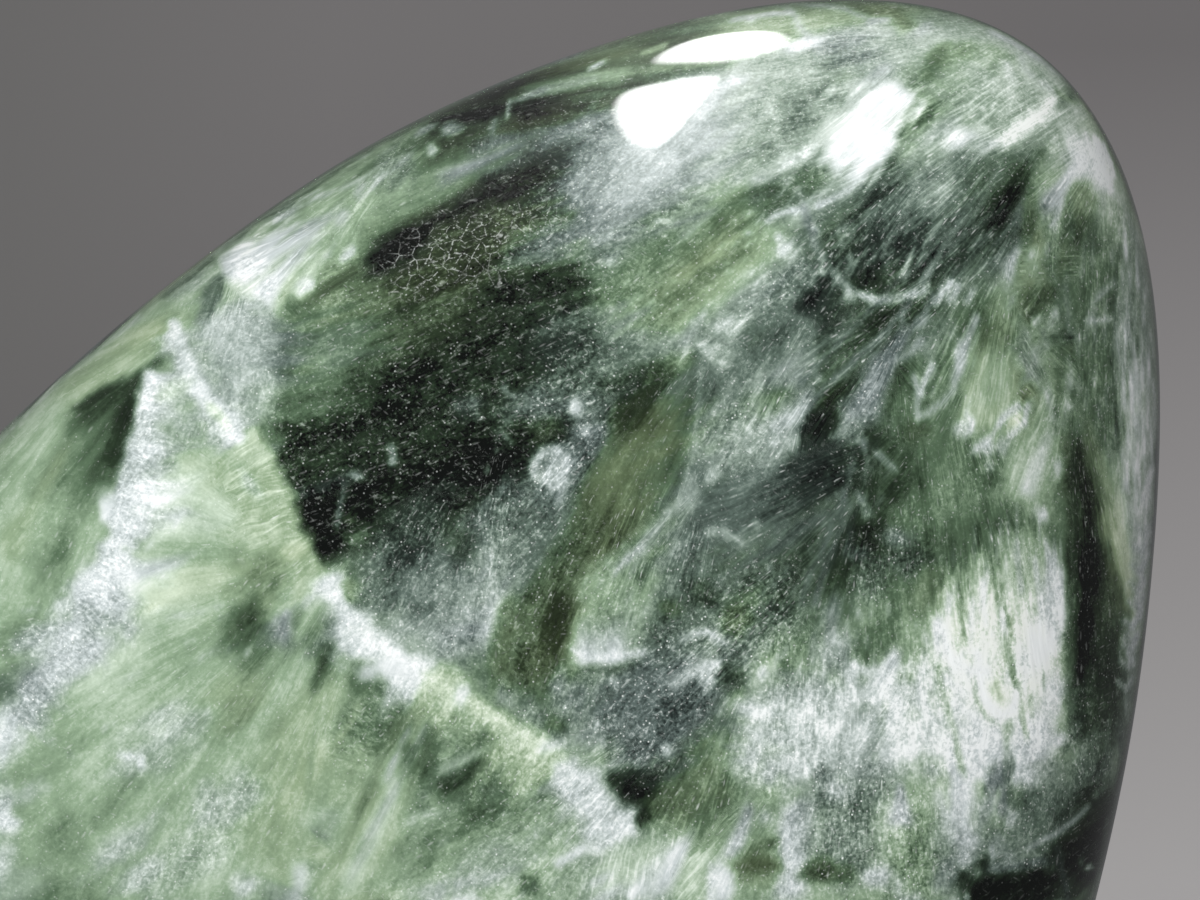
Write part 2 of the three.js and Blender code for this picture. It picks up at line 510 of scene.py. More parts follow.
def strew(root_x, root_y, tip_x, tip_y, root_width, tip_width, number, wide, long, lift, to_tint):
    """Fine strokes strewn over a fan, along its fibres: how many, their width and length, their lift."""
    scatter = np.random.default_rng(new_salt())
    root, tip = np.array((root_x, root_y), float), np.array((tip_x, tip_y), float)
    forward = tip - root
    sideways = np.array((-forward[1], forward[0])) / np.linalg.norm(forward)
    for _ in range(number):
        travel, place = scatter.uniform(0.02, 1), scatter.uniform(-1, 1)
        half_width = (root_width + (tip_width - root_width) * travel) / 2
        middle = root + forward * travel + sideways * half_width * place
        run_way = forward + sideways * (tip_width - root_width) / 2 * place
        run_way /= np.linalg.norm(run_way)
        half_wide = max(wide * scatter.uniform(0.8, 1.3), FINEST_PX) / 2
        half_long = long * scatter.uniform(0.5, 1.3) / 2
        near = near_box(middle - half_long, middle + half_long)
        gap = in_view[near] - middle
        ahead = gap @ run_way
        aside = gap @ np.array((-run_way[1], run_way[0])) + 0.04 * ahead ** 2 / half_long * scatter.normal()
        far = np.clip(1 - (ahead / half_long) ** 2 - (aside / half_wide) ** 2, 0, 1)
        weight = far * shown_cover[near]
        tone[near] += lift * scatter.uniform(0.4, 1.3) * weight
        tint[near] += (to_tint - tint[near]) * 0.5 * weight


def lay_stretch(fans=(), crests=(), washes=(), hairs=(), seams=(), brushes=(), nets=(), grains=(),
                tone_shifts=(), hues=()):
    """Lays one stretch of the stone, its fans first. A row holds its function's values, in their order."""
    for lay, rows in ((fan, fans), (crest, crests), (wash, washes), (strew, hairs), (seam, seams)):
        for row in rows:
            lay(*row)
    for into, rows in ((hairy, brushes), (net, nets), (grain, grains)):
        for row in rows:
            brush(into, *row)
    for row in tone_shifts:
        shift_tone(*row)
    for row in hues:
        brush(tint, *row)


# The grounds: the broad fans and dark hollows that every later plume lies on. A tone of 0 is black and
# 1 is white. A tint of -1 is silver, -.5 grey, 0 green, .5 moss and 1 olive.
lay_stretch(fans=(
    (345, 560, 20, 840, 30, 760, (.62, .63, .62, .62, .6), 0, .15, .04, .4),
    (210, 260, 40, 640, 120, 260, (.6, .58, .57, .58), 0, .1, .05, .6),
    (640, 740, 380, 920, 120, 330, (.62, .6, .58, .62), 0, .25, .08, .6),
    (700, 470, 560, 920, 140, 330, (.42, .42, .42, .48), -.5, .5, .1, .6),
    (660, 330, 270, 440, 220, 240, (.34, .24, .14, .14), 0, .55, .08, .8),
    (560, 230, 330, 340, 130, 130, (.34, .34, .38, .44), .5, .55, .12, .8),
    (620, 400, 410, 640, 130, 170, (.34, .36, .46, .52), -1, .7, .15, .8),
    (1060, 90, 600, 340, 160, 350, (.56, .52, .5, .5), -.5, .3, .1, .6),
    (990, 40, 560, 110, 90, 190, (.6, .62, .62, .5), -.5, .45, .1, .8),
    (760, 10, 380, 130, 60, 90, (.5, .44, .34, .3), .5, .2, .08, .6),
    (430, 100, 140, 300, 60, 110, (.46, .56, .6, .58), 0, .15, .08, .8),
    (880, 420, 900, 930, 220, 560, (.34, .38, .54, .64, .56), 0, .35, .07, .5),
    (1130, 150, 1120, 790, 70, 80, (.5, .5, .5, .46), -.5, .3, .1, .8),
    (175, 285, 0, 460, 30, 80, (.56, .58, .64, .66), 0, .05, .04, .8),
    (190, 320, 60, 400, 30, 60, (.58, .58, .6, .62), .5, .05, .05, .8),
    (172, 352, 20, 540, 8, 130, (.34, .36, .42, .5), 0, .05, .05, .8),
    (165, 358, 70, 440, 5, 46, (.24, .2, .3, .44), 0, .05, .05, .8, (.12, .38)),
    (148, 378, 108, 490, 16, 50, (.24, .22, .32, .44), 0, .05, .05, .8, (.12, .38)),
    (70, 450, 10, 560, 10, 40, (.46, .46, .5), .5, .05, .05, .8),
    (300, 545, 170, 470, 20, 110, (.74, .7, .66, .66), 0, .1, .08, .8),
    (300, 548, 150, 545, 20, 90, (.76, .74, .72, .8), 0, .15, .1, .8),
    (300, 562, 140, 590, 12, 60, (.74, .74, .76, .78), .5, .1, .06, .8),
    (296, 562, 222, 660, 6, 80, (.34, .26, .26, .38, .52), 0, .08, .06, .8, (.1, .5)),
    (350, 640, 250, 850, 20, 130, (.56, .58, .6, .62), .5, .15, .06, .8),
    (420, 150, 232, 284, 30, 110, (.5, .58, .62, .72, .95), 0, .08, .05, .6, (.19, .04)),
    (420, 130, 240, 235, 16, 40, (.54, .6, .62, .62), 0, .1, .05, .8),
    (400, 150, 330, 250, 16, 46, (.5, .58, .62, .66), 0, .2, .08, .8),
    (460, 285, 290, 360, 60, 90, (.36, .4, .44, .42), .5, .4, .12, .8),
    (600, 150, 376, 262, 44, 34, (.22, .14, .08, .05, .08), 0, .2, .1, .8, (.25, .07)),
    (530, 145, 396, 205, 16, 46, (.46, .54, .6, .62), 0, .15, .08, .8, (.38, .12)),
    (560, 100, 430, 128, 24, 30, (.22, .18, .18, .26), 0, .3, .1, .8),
    (620, 60, 430, 112, 16, 18, (.3, .22, .16, .2, .26), .5, .05, .06, .6),
    (640, 50, 520, 80, 8, 14, (.44, .4, .34, .24), 1, .05, .06, .8),
    (670, 64, 515, 96, 8, 20, (.54, .62, .62, .6, .46), 0, .2, .08, .8),
    (660, 82, 555, 100, 6, 12, (.36, .2, .22, .26), .5, .05, .06, .8),
    (620, 100, 495, 128, 16, 26, (.36, .24, .18, .2), 1, .3, .1, .8),
    # This silver fan is painted reflection: the ground of the haze round the lower white patch.
    (700, 110, 575, 215, 60, 90, (.72, .74, .74, .62), -1, .95, .12, .8),
    (620, 330, 296, 474, 130, 140, (.22, .14, .1, .13), 0, .75, .05, .5, (.38, .05)),
    (520, 440, 285, 520, 120, 110, (.1, .12, .12, .12), 0, .7, .05, .6, (.38, .05)),
    (470, 470, 300, 540, 60, 40, (.08, .05, .04, .03), 0, .4, .06, .6, (.38, .07)),
    (500, 470, 470, 660, 40, 90, (.4, .52, .56, .52), -1, .8, .12, .8),
    (440, 500, 370, 610, 50, 110, (.2, .3, .42, .46), -.5, .7, .14, .8, (.38, .25)),
    (640, 740, 440, 910, 60, 190, (.72, .64, .58, .6, .64), 0, .4, .07, .6),
    (430, 690, 340, 910, 30, 90, (.56, .58, .64, .66), .5, .1, .05, .8),
    (440, 700, 345, 890, 8, 22, (.58, .74, .72, .7, .66), -.5, .1, .06, .8),
    (695, 380, 600, 540, 60, 110, (.24, .32, .32, .34), 1, .1, .05, .5),
    (640, 470, 545, 690, 44, 96, (.32, .28, .24, .22, .32), 1, .2, .05, .6, (.38, .25)),
    (600, 500, 515, 650, 30, 60, (.34, .34, .34, .36), .5, .5, .06, .8),
    (800, 330, 715, 470, 60, 100, (.44, .52, .56, .56), 0, .5, .08, .8),
    (760, 225, 610, 350, 90, 110, (.46, .5, .54, .54), .5, .35, .06, .8),
    (900, 6, 640, 50, 34, 60, (.4, .38, .36, .32), .5, .3, .07, .8),
    (1010, 60, 880, 140, 90, 130, (.58, .56, .52, .5), 0, .4, .08, .8),
    (975, 165, 830, 300, 60, 120, (.34, .26, .18, .14), 0, .35, .08, .8, (.25, .12)),
    (900, 190, 800, 310, 40, 90, (.3, .2, .14, .12), 0, .35, .08, .8, (.25, .19)),
    (1036, 150, 940, 290, 16, 60, (.34, .3, .22, .2), 0, .3, .08, .6),
    (1000, 230, 900, 350, 50, 90, (.34, .36, .36, .36), -.5, .3, .1, .8),
    (930, 290, 790, 400, 60, 110, (.24, .24, .26, .3), 0, .25, .07, .8),
    (905, 325, 838, 438, 12, 54, (.4, .46, .54, .54, .58), -1, .5, .08, .6, (.19, .06)),
    (985, 290, 930, 400, 50, 60, (.36, .4, .44, .46), 0, .25, .08, .8),
    (1000, 310, 975, 438, 40, 74, (.46, .5, .6, .64, .56), .5, .1, .05, .6, (.38, .12)),
    (1052, 400, 1015, 505, 40, 66, (.46, .54, .64, .7), 0, .25, .08, .6, (.31, .07)),
    (885, 450, 735, 590, 90, 170, (.14, .24, .32, .34, .34), 0, .12, .07, .6),
    (860, 455, 700, 530, 40, 100, (.1, .22, .34, .38), 0, .12, .08, .6, (.19, .19)),
    (870, 470, 830, 640, 20, 70, (.2, .22, .26, .36), 0, .15, .07, .8),
    (690, 500, 590, 610, 20, 84, (.42, .46, .5, .52), .5, .35, .08, .8),
    (672, 510, 590, 600, 14, 44, (.5, .58, .62, .66), 0, .35, .12, .8),
    (640, 560, 606, 662, 50, 80, (.5, .56, .62, .74), 0, .3, .06, .6, (.25, .05)),
    (780, 590, 620, 740, 90, 150, (.3, .28, .26, .3), -.5, .95, .08, .8),
    (735, 690, 670, 830, 30, 120, (.36, .38, .38, .38, .44), .5, .3, .06, .6),
    (760, 800, 680, 905, 40, 130, (.44, .52, .62, .66), 0, .25, .08, .8),
    (800, 640, 780, 780, 90, 130, (.46, .58, .72, .74, .7), 0, .85, .1, .5, (.25, .07)),
    (800, 780, 780, 900, 44, 44, (.66, .72, .76, .7), -1, .75, .1, .6),
    (850, 770, 840, 880, 80, 110, (.44, .4, .36, .34, .42), -.5, .9, .1, .6),
    (1010, 520, 1035, 700, 60, 70, (.4, .56, .78, .96, .92), 0, .35, .06, .5, (.25, .06)),
    (955, 720, 945, 860, 24, 60, (.66, .86, .9, .84, .8), -1, .6, .1, .6, (.25, .1)),
    (1110, 800, 960, 905, 60, 110, (.04, .02, 0, 0), 0, .1, .04, .4, (.12, .12)),
    (1098, 250, 1095, 460, 50, 60, (.28, .26, .26, .24), 0, .3, .05, .6),
    (1072, 420, 1096, 740, 16, 60, (.2, .08, .04, .05, .1), 0, .35, .03, .5, (.15, .07)),
    (1084, 430, 1128, 650, 16, 40, (.44, .52, .42, .22), 1, .1, .05, .6),
    (968, 500, 985, 600, 90, 110, (.36, .44, .6, .84), 0, .15, .2, .8),
))

# The left edge: pale green fans that lean in from beyond the frame, over dark wedges of deeper fibre.
lay_stretch(fans=(
    (60, 420, 0, 500, 30, 60, (.6, .66, .7, .66), 0, .05, .05, .8),
), washes=(
    (150, 333, 34, 12, 20, .62, 1, .7), (100, 396, 30, 5, 33, .18, 0, .7),
    (14, 460, 22, 30, 40, .72, 0, .6), (6, 690, 18, 16, 60, .4, -.5, .6),
), seams=(
    # This pale line along the upper left edge is a painted highlight: the rim's reflection.
    ((0, 440, 30, 408, 70, 372, 110, 340, 140, 316), 7, .72, -.5, .6),
))

# The white column: here the fibres come up on end, and their broken tips scatter the light.
lay_stretch(fans=(
    (185, 376, 152, 380, 6, 14, (.8, .98), -1, .2, .3, .8, (.38, .1)),
    (212, 474, 118, 514, 14, 44, (.9, 1.06, 1.1, 1.06), -1, 0, .16, .8, (.25, .06)),
    (188, 558, 98, 600, 14, 60, (.8, .98, 1.08, 1.04), -1, .1, .18, .8, (.38, .09)),
    (110, 640, 20, 690, 30, 46, (.7, .68, .66), -1, .4, .12, .8),
), hairs=(
    (215, 480, 120, 540, 20, 60, 22, 4, 26, .18, -1),
))

# The lower left fan: long soft green fibres that open downwards, away from the crest.
lay_stretch(fans=(
    (298, 566, 282, 640, 8, 34, (.5, .52, .58, .56), -1, .3, .1, .8),
), washes=(
    (165, 588, 40, 14, 12, .8, .5, .6), (158, 607, 14, 4, 15, .92, 1), (302, 618, 6, 24, 82, .38, 0, .6),
    (330, 664, 12, 26, 62, .36, 0, .7), (240, 690, 26, 40, 45, .62, 1, .5),
    (170, 735, 50, 26, 30, .7, -1, .5, .75), (10, 735, 16, 9, 45, .98, -1),
    (14, 818, 13, 13, 0, 1, -1, .95), (4, 800, 14, 24, 80, .88, -1), (6, 858, 16, 24, 70, .84, -1, .7),
    (30, 790, 30, 10, 30, .68, -1, .5), (72, 832, 34, 24, 40, .44, 0, .75, .2),
    (20, 880, 40, 16, 15, .56, -.5, .6), (130, 840, 50, 12, 40, .66, -1, .6, .6),
    (150, 870, 30, 14, 30, .74, -1, .6, .8), (232, 800, 40, 26, 35, .68, -1, .6, .85),
    (200, 850, 60, 24, 30, .66, -.5, .6, .8), (250, 880, 14, 12, 40, .86, -1, .7, .6),
    (306, 870, 10, 16, 80, .84, -1, .7, .2), (302, 892, 8, 24, 80, .7, -1, .6),
    (320, 760, 14, 60, 60, .6, 1, .6),
), hairs=(
    (343, 567, 120, 830, 20, 520, 60, 5, 60, .08, 0), (343, 567, 120, 830, 20, 520, 60, 6, 60, -.08, 0),
    (343, 567, 60, 700, 20, 240, 34, 4, 34, .16, -1),
), seams=(
    ((128, 751, 139, 752), 3.4, .95, -1, .9), ((148, 753, 148, 763), 3.4, .98, -1, .9),
))

# The white fan between the column and the crest, with dull green hollows on either side.
lay_stretch(fans=(
    (320, 225, 230, 274, 16, 46, (.7, .94, 1.06, 1.04), -1, 0, .14, .6, (.38, .05)),
    (310, 245, 262, 303, 8, 30, (.72, .96, 1.06), -1, 0, .14, .8, (.38, .06)),
    (330, 250, 298, 300, 6, 20, (.68, .74, .9), 0, .1, .14, .8, (.38, .1)),
    (360, 270, 308, 303, 10, 16, (.2, .14, .2, .3), .5, .05, .08, .6, (.12, .19)),
), washes=(
    (250, 268, 20, 16, 20, 1.06, -1), (272, 292, 14, 12, 40, 1.04, -1, .85),
    (310, 290, 10, 7, 35, .96, -1, .85), (350, 256, 9, 4, 45, .96, -1), (344, 222, 7, 18, 65, .8, -1, .6),
    (362, 192, 7, 12, 70, .8, -1, .6), (286, 214, 24, 5, 32, .86, -1, .75),
    (395, 170, 20, 22, 60, .46, -.5, .6, .7), (195, 284, 34, 13, 25, .54, -.5, .8, .3),
    (216, 300, 10, 24, 70, .4, -.5, .8, .1), (236, 375, 26, 34, 60, .62, -1, .7, .7),
    (250, 408, 22, 18, 0, .68, -1, .7, .8), (300, 414, 30, 9, 5, .42, 0, .6, .4),
), hairs=(
    (405, 150, 250, 270, 20, 120, 40, 4, 40, .14, -1), (405, 150, 250, 270, 20, 120, 40, 4, 44, -.1, 0),
), seams=(
    # This dark seam along the upper left edge is painted shade: the rounded edge turning away from the
    # light.
    ((165, 296, 200, 270, 230, 246, 260, 222, 300, 196, 340, 168, 380, 142, 420, 120, 460, 103), 6, .2, 0,
     .6),
))

# The dark bands under the upper edge: clear stone whose fibres dive, with thin green streaks in it.
lay_stretch(fans=(
    (520, 148, 440, 182, 8, 18, (.48, .52, .54), -1, .2, .08, .8),
), washes=(
    (426, 131, 11, 5, 30, .78, -1, .7, .5), (452, 130, 11, 11, 20, .68, -1, .75, .6),
    (433, 151, 6, 7, 0, .86, -1, .7, .4), (410, 150, 16, 6, 25, .4, 0, .5, .4),
    (535, 95, 20, 6, 22, .7, -1, .7, .7), (575, 85, 26, 6, 16, .66, -.5, .6, .4),
    (570, 132, 34, 9, 22, .56, -1, .7, .7), (540, 182, 34, 16, 10, .2, .5, .75, .9),
), seams=(
    ((590, 70, 604, 64), 2.8, .85, -1, .9), ((511, 101, 509, 110, 507, 119), 2.8, .85, -1, .9),
    ((497, 122, 492, 134), 2.4, .6, -1),
))

# The crack net: fine healed cracks over the dark band, and the silver haze that covers its left end, a
# painted reflection: the soft glow of the polish round the lower white patch, laid in as pale silver tone.
lay_stretch(washes=(
    (470, 248, 66, 40, 25, .28, 1, .85, .55), (430, 275, 40, 22, 25, .32, 1, .7, .5),
    (530, 215, 40, 18, 20, .34, 1, .7, .9), (500, 180, 20, 10, 20, .12, 0, .5, .8),
    (550, 245, 44, 22, 18, .46, -1, .8, .85), (512, 262, 20, 14, 10, .44, -.5, .6, .8),
    (540, 290, 54, 20, 14, .1, 0, .9, .5), (500, 300, 30, 14, 14, .14, 0, .7, .5),
    (640, 175, 54, 34, 30, .78, -1, .8, 1), (590, 185, 26, 34, 60, .62, -1, .7, 1),
    (600, 230, 40, 20, 20, .56, -1, .7, .9), (612, 262, 16, 8, 20, .62, -1, .5, .9),
    (600, 130, 22, 24, 60, .6, -1, .6, .8),
))

# The top band: fibres that run along the shoulder, pale on its ridge and dark just under it.
lay_stretch(washes=(
    (668, 42, 30, 7, 14, .22, .5, .8, .2), (690, 30, 34, 6, 14, .46, -.5, .6, .4),
    (750, 21, 4, 3, 0, .92, -1, .9), (880, 12, 30, 8, -10, .34, 1, .8, .3),
    (900, 26, 14, 10, -30, .32, 1, .7, .3), (922, 32, 13, 7, 30, .64, -1, .8, .6),
    (840, 40, 40, 12, 10, .54, -1, .7, .8), (845, 62, 34, 12, 10, .4, -1, .75, .9),
    (815, 90, 46, 16, 10, .54, 0, .7, .6), (780, 120, 36, 28, 60, .42, -.5, .75, .9),
    (750, 110, 20, 16, 40, .48, -1, .6, 1), (720, 140, 26, 34, 60, .56, -1, .7, 1),
    (745, 160, 34, 20, 20, .44, 0, .7, .9), (831, 94, 6, 4, 0, .96, -1, .9),
), seams=(
    ((644, 53, 655, 50, 666, 45), 3.4, .66, .5, .7),
    ((732, 21, 752, 18, 772, 15, 788, 13), 3.6, .7, -1, .75),
    ((770, 4, 784, 7, 794, 14, 798, 26, 806, 38, 818, 54), 4.6, .64, -1),
    ((796, 3, 820, 6, 845, 10, 862, 18, 872, 24), 3.6, .6, -1, .7),
    ((866, 24, 876, 21, 888, 20), 3, .64, -1, .7), ((640, 79, 670, 73, 700, 69, 730, 64), 8, .27, 0, .85),
    ((640, 74, 680, 68, 720, 64), 2.6, .52, .5, .6),
    ((757, 86, 766, 102, 773, 116, 773, 132, 778, 146, 781, 160), 3.4, .66, -1, .75),
))

# The satin patch: a painted sheen. Fibres that lie flat under the polish shine together like silk, and
# that shine is laid in as near-white tone.
lay_stretch(fans=(
    (895, 95, 822, 158, 50, 60, (.96, 1.1, 1.12, 1.04), -1, 0, .1, .6, (.07, .18)),
    (888, 70, 846, 104, 16, 26, (.7, .84, .86, .6), -1, .3, .2, .8),
), washes=(
    (806, 182, 20, 14, 0, .36, 0, .8, .7), (820, 274, 5, 4, 0, 1, -1, .95),
    (813, 233, 3.5, 4, 80, .98, -1, .95), (800, 265, 14, 24, -60, .42, -.5, .7, .5),
), hairs=(
    (895, 66, 846, 110, 26, 40, 20, 3.2, 26, .3, -1),
), seams=(
    ((783, 169, 794, 163, 805, 156, 812, 148), 7, 1.02, -1, .9),
    ((816, 209, 828, 203, 842, 196, 858, 188), 5, .9, -1, .85),
    ((732, 183, 746, 185, 762, 181, 776, 181, 788, 188, 796, 198, 802, 212), 4, .78, -1),
    ((802, 212, 806, 228, 812, 246, 822, 264, 834, 280, 846, 292), 7, .52, -1),
))

# The crown of the right end: fine pale fibres that run up to the tip and fray there.
lay_stretch(washes=(
    (935, 66, 10, 26, 60, .38, .5, .85, .15), (960, 56, 16, 12, 20, .5, .5, .7, .5),
    (880, 80, 10, 20, 50, .62, -1, .6, .5), (1005, 100, 24, 26, 50, .56, -1, .7, .6),
    (1048, 90, 12, 7, -30, .8, -1, .7, .7), (1062, 96, 12, 14, -60, .36, .5, .85, .1),
    (955, 142, 16, 10, 10, 1.04, -1, .95, .2), (980, 131, 9, 9, 40, .98, -1, .9, .3),
    (985, 148, 22, 8, 10, .78, -1, .7, .5), (940, 130, 26, 9, 40, .7, -1, .6, .5),
    (1046, 102, 8, 9, 40, .86, -1, .8, .6), (1050, 146, 14, 16, 60, .42, 0, .7, .6),
    (1086, 162, 10, 26, -60, .82, -1, .85, .4), (1096, 184, 8, 14, -60, .78, -1, .8, .4),
    (1120, 190, 8, 40, -66, .46, 0, .7, .2),
), seams=(
    ((894, 66, 915, 50, 940, 37, 965, 32, 990, 36, 1010, 46, 1038, 61, 1062, 82), 11, .66, -.5),
    ((990, 34, 1015, 46, 1040, 60, 1060, 76), 4, .76, -1, .7),
    ((1004, 66, 1007, 82, 1009, 96), 4.5, .78, -1, .7), ((1018, 60, 1022, 70, 1030, 78), 4.5, .8, -1, .7),
    ((992, 144, 1008, 139, 1024, 130, 1038, 119, 1046, 110), 6.5, 1.08, -1, .95),
    ((1002, 133, 1016, 124, 1030, 112, 1042, 100), 4.6, .96, -1, .85),
    ((1102, 146, 1108, 162, 1111, 178), 4.6, 1, -1, .9),
))

# The dark field right of the satin patch: deep clear stone, combed by thin bright fibres.
lay_stretch(washes=(
    (885, 240, 40, 30, 45, .12, 0, .8, .4), (850, 240, 34, 24, 45, .16, 0, .7, .5),
    (920, 260, 20, 30, 50, .1, 0, .7, .3), (845, 297, 9, 8, 0, .86, -1, .9, .7),
), hairs=(
    (985, 150, 860, 280, 40, 150, 60, 3.2, 30, .3, -1), (985, 150, 860, 280, 40, 150, 34, 3.2, 34, -.16, 0),
), seams=(
    ((962, 210, 945, 240, 926, 270, 910, 292), 3.4, .6, -1, .7),
    ((856, 296, 866, 301, 878, 303, 892, 300, 904, 297, 916, 296, 924, 290), 5, .82, -1, .9),
    ((862, 296, 874, 300, 886, 300), 3, .96, -1),
))

# The dark wedge and, under it, the fibres that hang straight down in clear green stone.
lay_stretch(washes=(
    (1030, 158, 18, 12, 40, .34, .5, .8, .3), (1010, 160, 18, 10, 45, .26, 0, .7, .4),
    (1000, 212, 10, 26, 60, .02, 0, .85), (1076, 176, 8, 8, 30, .86, -1, .8, .4),
    (1031, 323, 5, 7, 60, .92, -1, .9, .3),
), hairs=(
    (1062, 190, 1010, 420, 20, 150, 50, 3.4, 32, .12, -1),
), seams=(
    ((1003, 280, 1008, 266, 1014, 250), 4.6, .86, -1, .85), ((1060, 203, 1054, 216, 1048, 228), 4, .84, -1),
    ((1051, 312, 1049, 322, 1042, 332), 5, .9, -1, .85),
))

# The streaks left of the hanging fibres: bright broken threads that slant down to the left.
lay_stretch(hairs=(
    (1010, 220, 900, 370, 40, 120, 44, 3.2, 34, .26, -1),
    (1010, 220, 900, 370, 40, 120, 30, 3.2, 34, -.14, 0),
), seams=(
    ((946, 284, 938, 294, 931, 304), 5.5, .86, -1, .85), ((955, 288, 950, 296, 945, 302), 5, .82, -1, .85),
    ((967, 292, 962, 304), 4.6, .86, -1, .85), ((955, 250, 940, 272, 925, 292), 4, .2, 0, .6),
))

# The upper part of the blue green fan: dark roots and the first grey threads.
lay_stretch(fans=(
    (862, 368, 808, 448, 10, 34, (.16, .06, .03, .06), 0, .1, .06, .6, (.19, .19)),
), washes=(
    (870, 318, 20, 14, 45, .12, 0, .8, .3), (828, 312, 30, 14, 40, .18, 0, .7, .3),
    (815, 380, 5, 6, 0, .7, -1, .7), (830, 400, 12, 16, 50, .04, .5, .8, .1),
    (808, 430, 20, 16, 40, .06, 0, .8, .2), (870, 372, 18, 24, 50, .5, -1, .7, .4),
    (855, 405, 20, 24, 50, .52, -1, .7, .8), (845, 432, 14, 7, 10, .68, -1, .8, .9),
    (900, 376, 12, 24, 80, .26, 0, .8, .1),
), seams=(
    ((905, 305, 880, 335, 850, 362, 815, 396, 795, 420), 5.5, .5, -1, .75),
    ((880, 300, 850, 330, 820, 362, 798, 386), 4, .4, -1, .6),
    ((930, 300, 905, 335, 880, 358), 4.6, .5, -1, .6),
    ((828, 438, 834, 437, 842, 441, 856, 440), 4.4, .78, -1, .85),
    ((916, 340, 904, 356, 892, 362), 5, .64, -1, .7), ((924, 318, 916, 328), 4, .66, -1, .7),
))

# The petals: short green fans whose rounded ends curl up to the polish in pale rims.
lay_stretch(fans=(
    (952, 392, 922, 440, 20, 46, (.4, .42, .44, .4), 0, .1, .06, .6, (.19, .1)),
    (1040, 445, 1020, 500, 14, 22, (.7, .92, 1.04, .98), -1, .3, .14, .8, (.31, .1)),
), washes=(
    (957, 352, 6, 14, 76, .84, -1, .8, .6), (915, 432, 16, 12, 0, .22, .5, .8, .2),
    (990, 380, 20, 34, 80, .6, 0, .7, .1), (1010, 420, 9, 10, 40, .96, 1, .9, .6),
    (985, 450, 5, 8, 60, .7, -1, .7, .9), (998, 444, 8, 12, 80, .62, -1, .6, .8),
    (985, 466, 6, 4, 0, .76, -1, .7, .8), (1035, 515, 7, 8, -50, .98, -1, .95, .5),
), seams=(
    ((972, 320, 964, 340, 958, 360, 950, 380), 6, .8, -1), ((928, 366, 922, 380, 917, 396), 4, .86, -1),
    ((948, 430, 952, 435, 960, 435, 966, 430, 968, 420, 962, 414), 3.2, .9, -1, .85),
    ((994, 424, 1000, 415, 1008, 410, 1014, 406), 5, .94, -1, .85),
    ((1005, 436, 1012, 430, 1019, 424), 4.6, .9, -1, .85), ((1020, 424, 1022, 412, 1024, 402), 5, .76, -1),
    ((968, 452, 974, 445, 980, 440), 3.4, .76, -1, .7),
))

# The deep green heart on the right: clear mossy stone between the petals, with dark pits.
lay_stretch(washes=(
    (925, 470, 26, 34, 60, .3, 0, .75, .1), (945, 440, 12, 20, 80, .3, 0, .6, .1),
    (857, 500, 6, 4, -20, .84, -1, .85, .8), (862, 512, 7, 6, 0, .66, -1, .7, 1),
    (890, 536, 24, 10, -10, .42, -1, .7, .9), (860, 536, 20, 18, 0, .12, 0, .85, .5),
    (856, 552, 12, 7, 0, .44, -1, .7, 1), (1015, 520, 26, 16, 0, .34, 0, .8, .3),
    (905, 560, 30, 18, 0, .34, -.5, .7, .7),
), seams=(
    ((872, 452, 878, 456, 882, 462, 890, 468), 3, .6, -1, .7),
    ((860, 440, 862, 470, 858, 498), 4.6, .5, -1, .7),
))

# The blue green fan: a wide fan of fine grey threads that opens down to the right.
lay_stretch(washes=(
    (810, 455, 50, 16, 25, .08, 0, .8, .2), (840, 470, 24, 26, 70, .12, 0, .8, .5),
    (700, 590, 16, 12, 0, .16, 0, .8, .5), (745, 600, 34, 12, 10, .36, .5, .6, .5),
    (754, 522, 3, 3, 0, .8, -1), (766, 567, 3, 3, 0, .84, -1, .85), (805, 540, 10, 30, 50, .24, 0, .6),
    (870, 580, 22, 24, 70, .34, -.5, .6, .95), (830, 610, 10, 24, 80, .36, -1, .6, .3),
), hairs=(
    (880, 450, 720, 570, 60, 170, 60, 3.4, 34, .13, -1),
    (880, 450, 720, 570, 60, 170, 60, 3.6, 36, -.09, 0), (860, 470, 820, 640, 20, 70, 26, 3.4, 34, .12, -1),
), seams=(
    ((703, 533, 712, 529, 722, 530), 3, .84, -1), ((722, 532, 731, 536, 740, 539), 3, .8, -1),
    ((850, 460, 838, 500, 820, 540, 806, 580, 798, 600), 5, .42, -1, .5),
    ((842, 500, 836, 530, 818, 580, 812, 600), 5, .4, -1, .5),
))

# The granular ground under the haze: fibre ends as fine as sand, grey on dark green.
lay_stretch(washes=(
    (670, 205, 44, 20, 40, .44, -.5, .7, .95), (695, 190, 30, 22, 40, .4, 0, .6, .9),
    (655, 225, 22, 10, 20, .36, 0, .7, .95), (770, 205, 40, 16, 25, .26, 0, .85, .4),
    (783, 252, 7, 10, 50, 1, -1, .9), (776, 240, 6, 5, 40, .84, -1), (792, 213, 7, 4, 35, .96, -1, .9),
    (746, 236, 5, 4, 20, .72, -1),
), seams=(
    ((765, 225, 775, 218, 786, 213), 3.6, .84, -1, .85), ((656, 223, 671, 224), 4, .84, -1),
    ((729, 285, 740, 278, 749, 272), 3.6, 1.02, -1, .9),
))

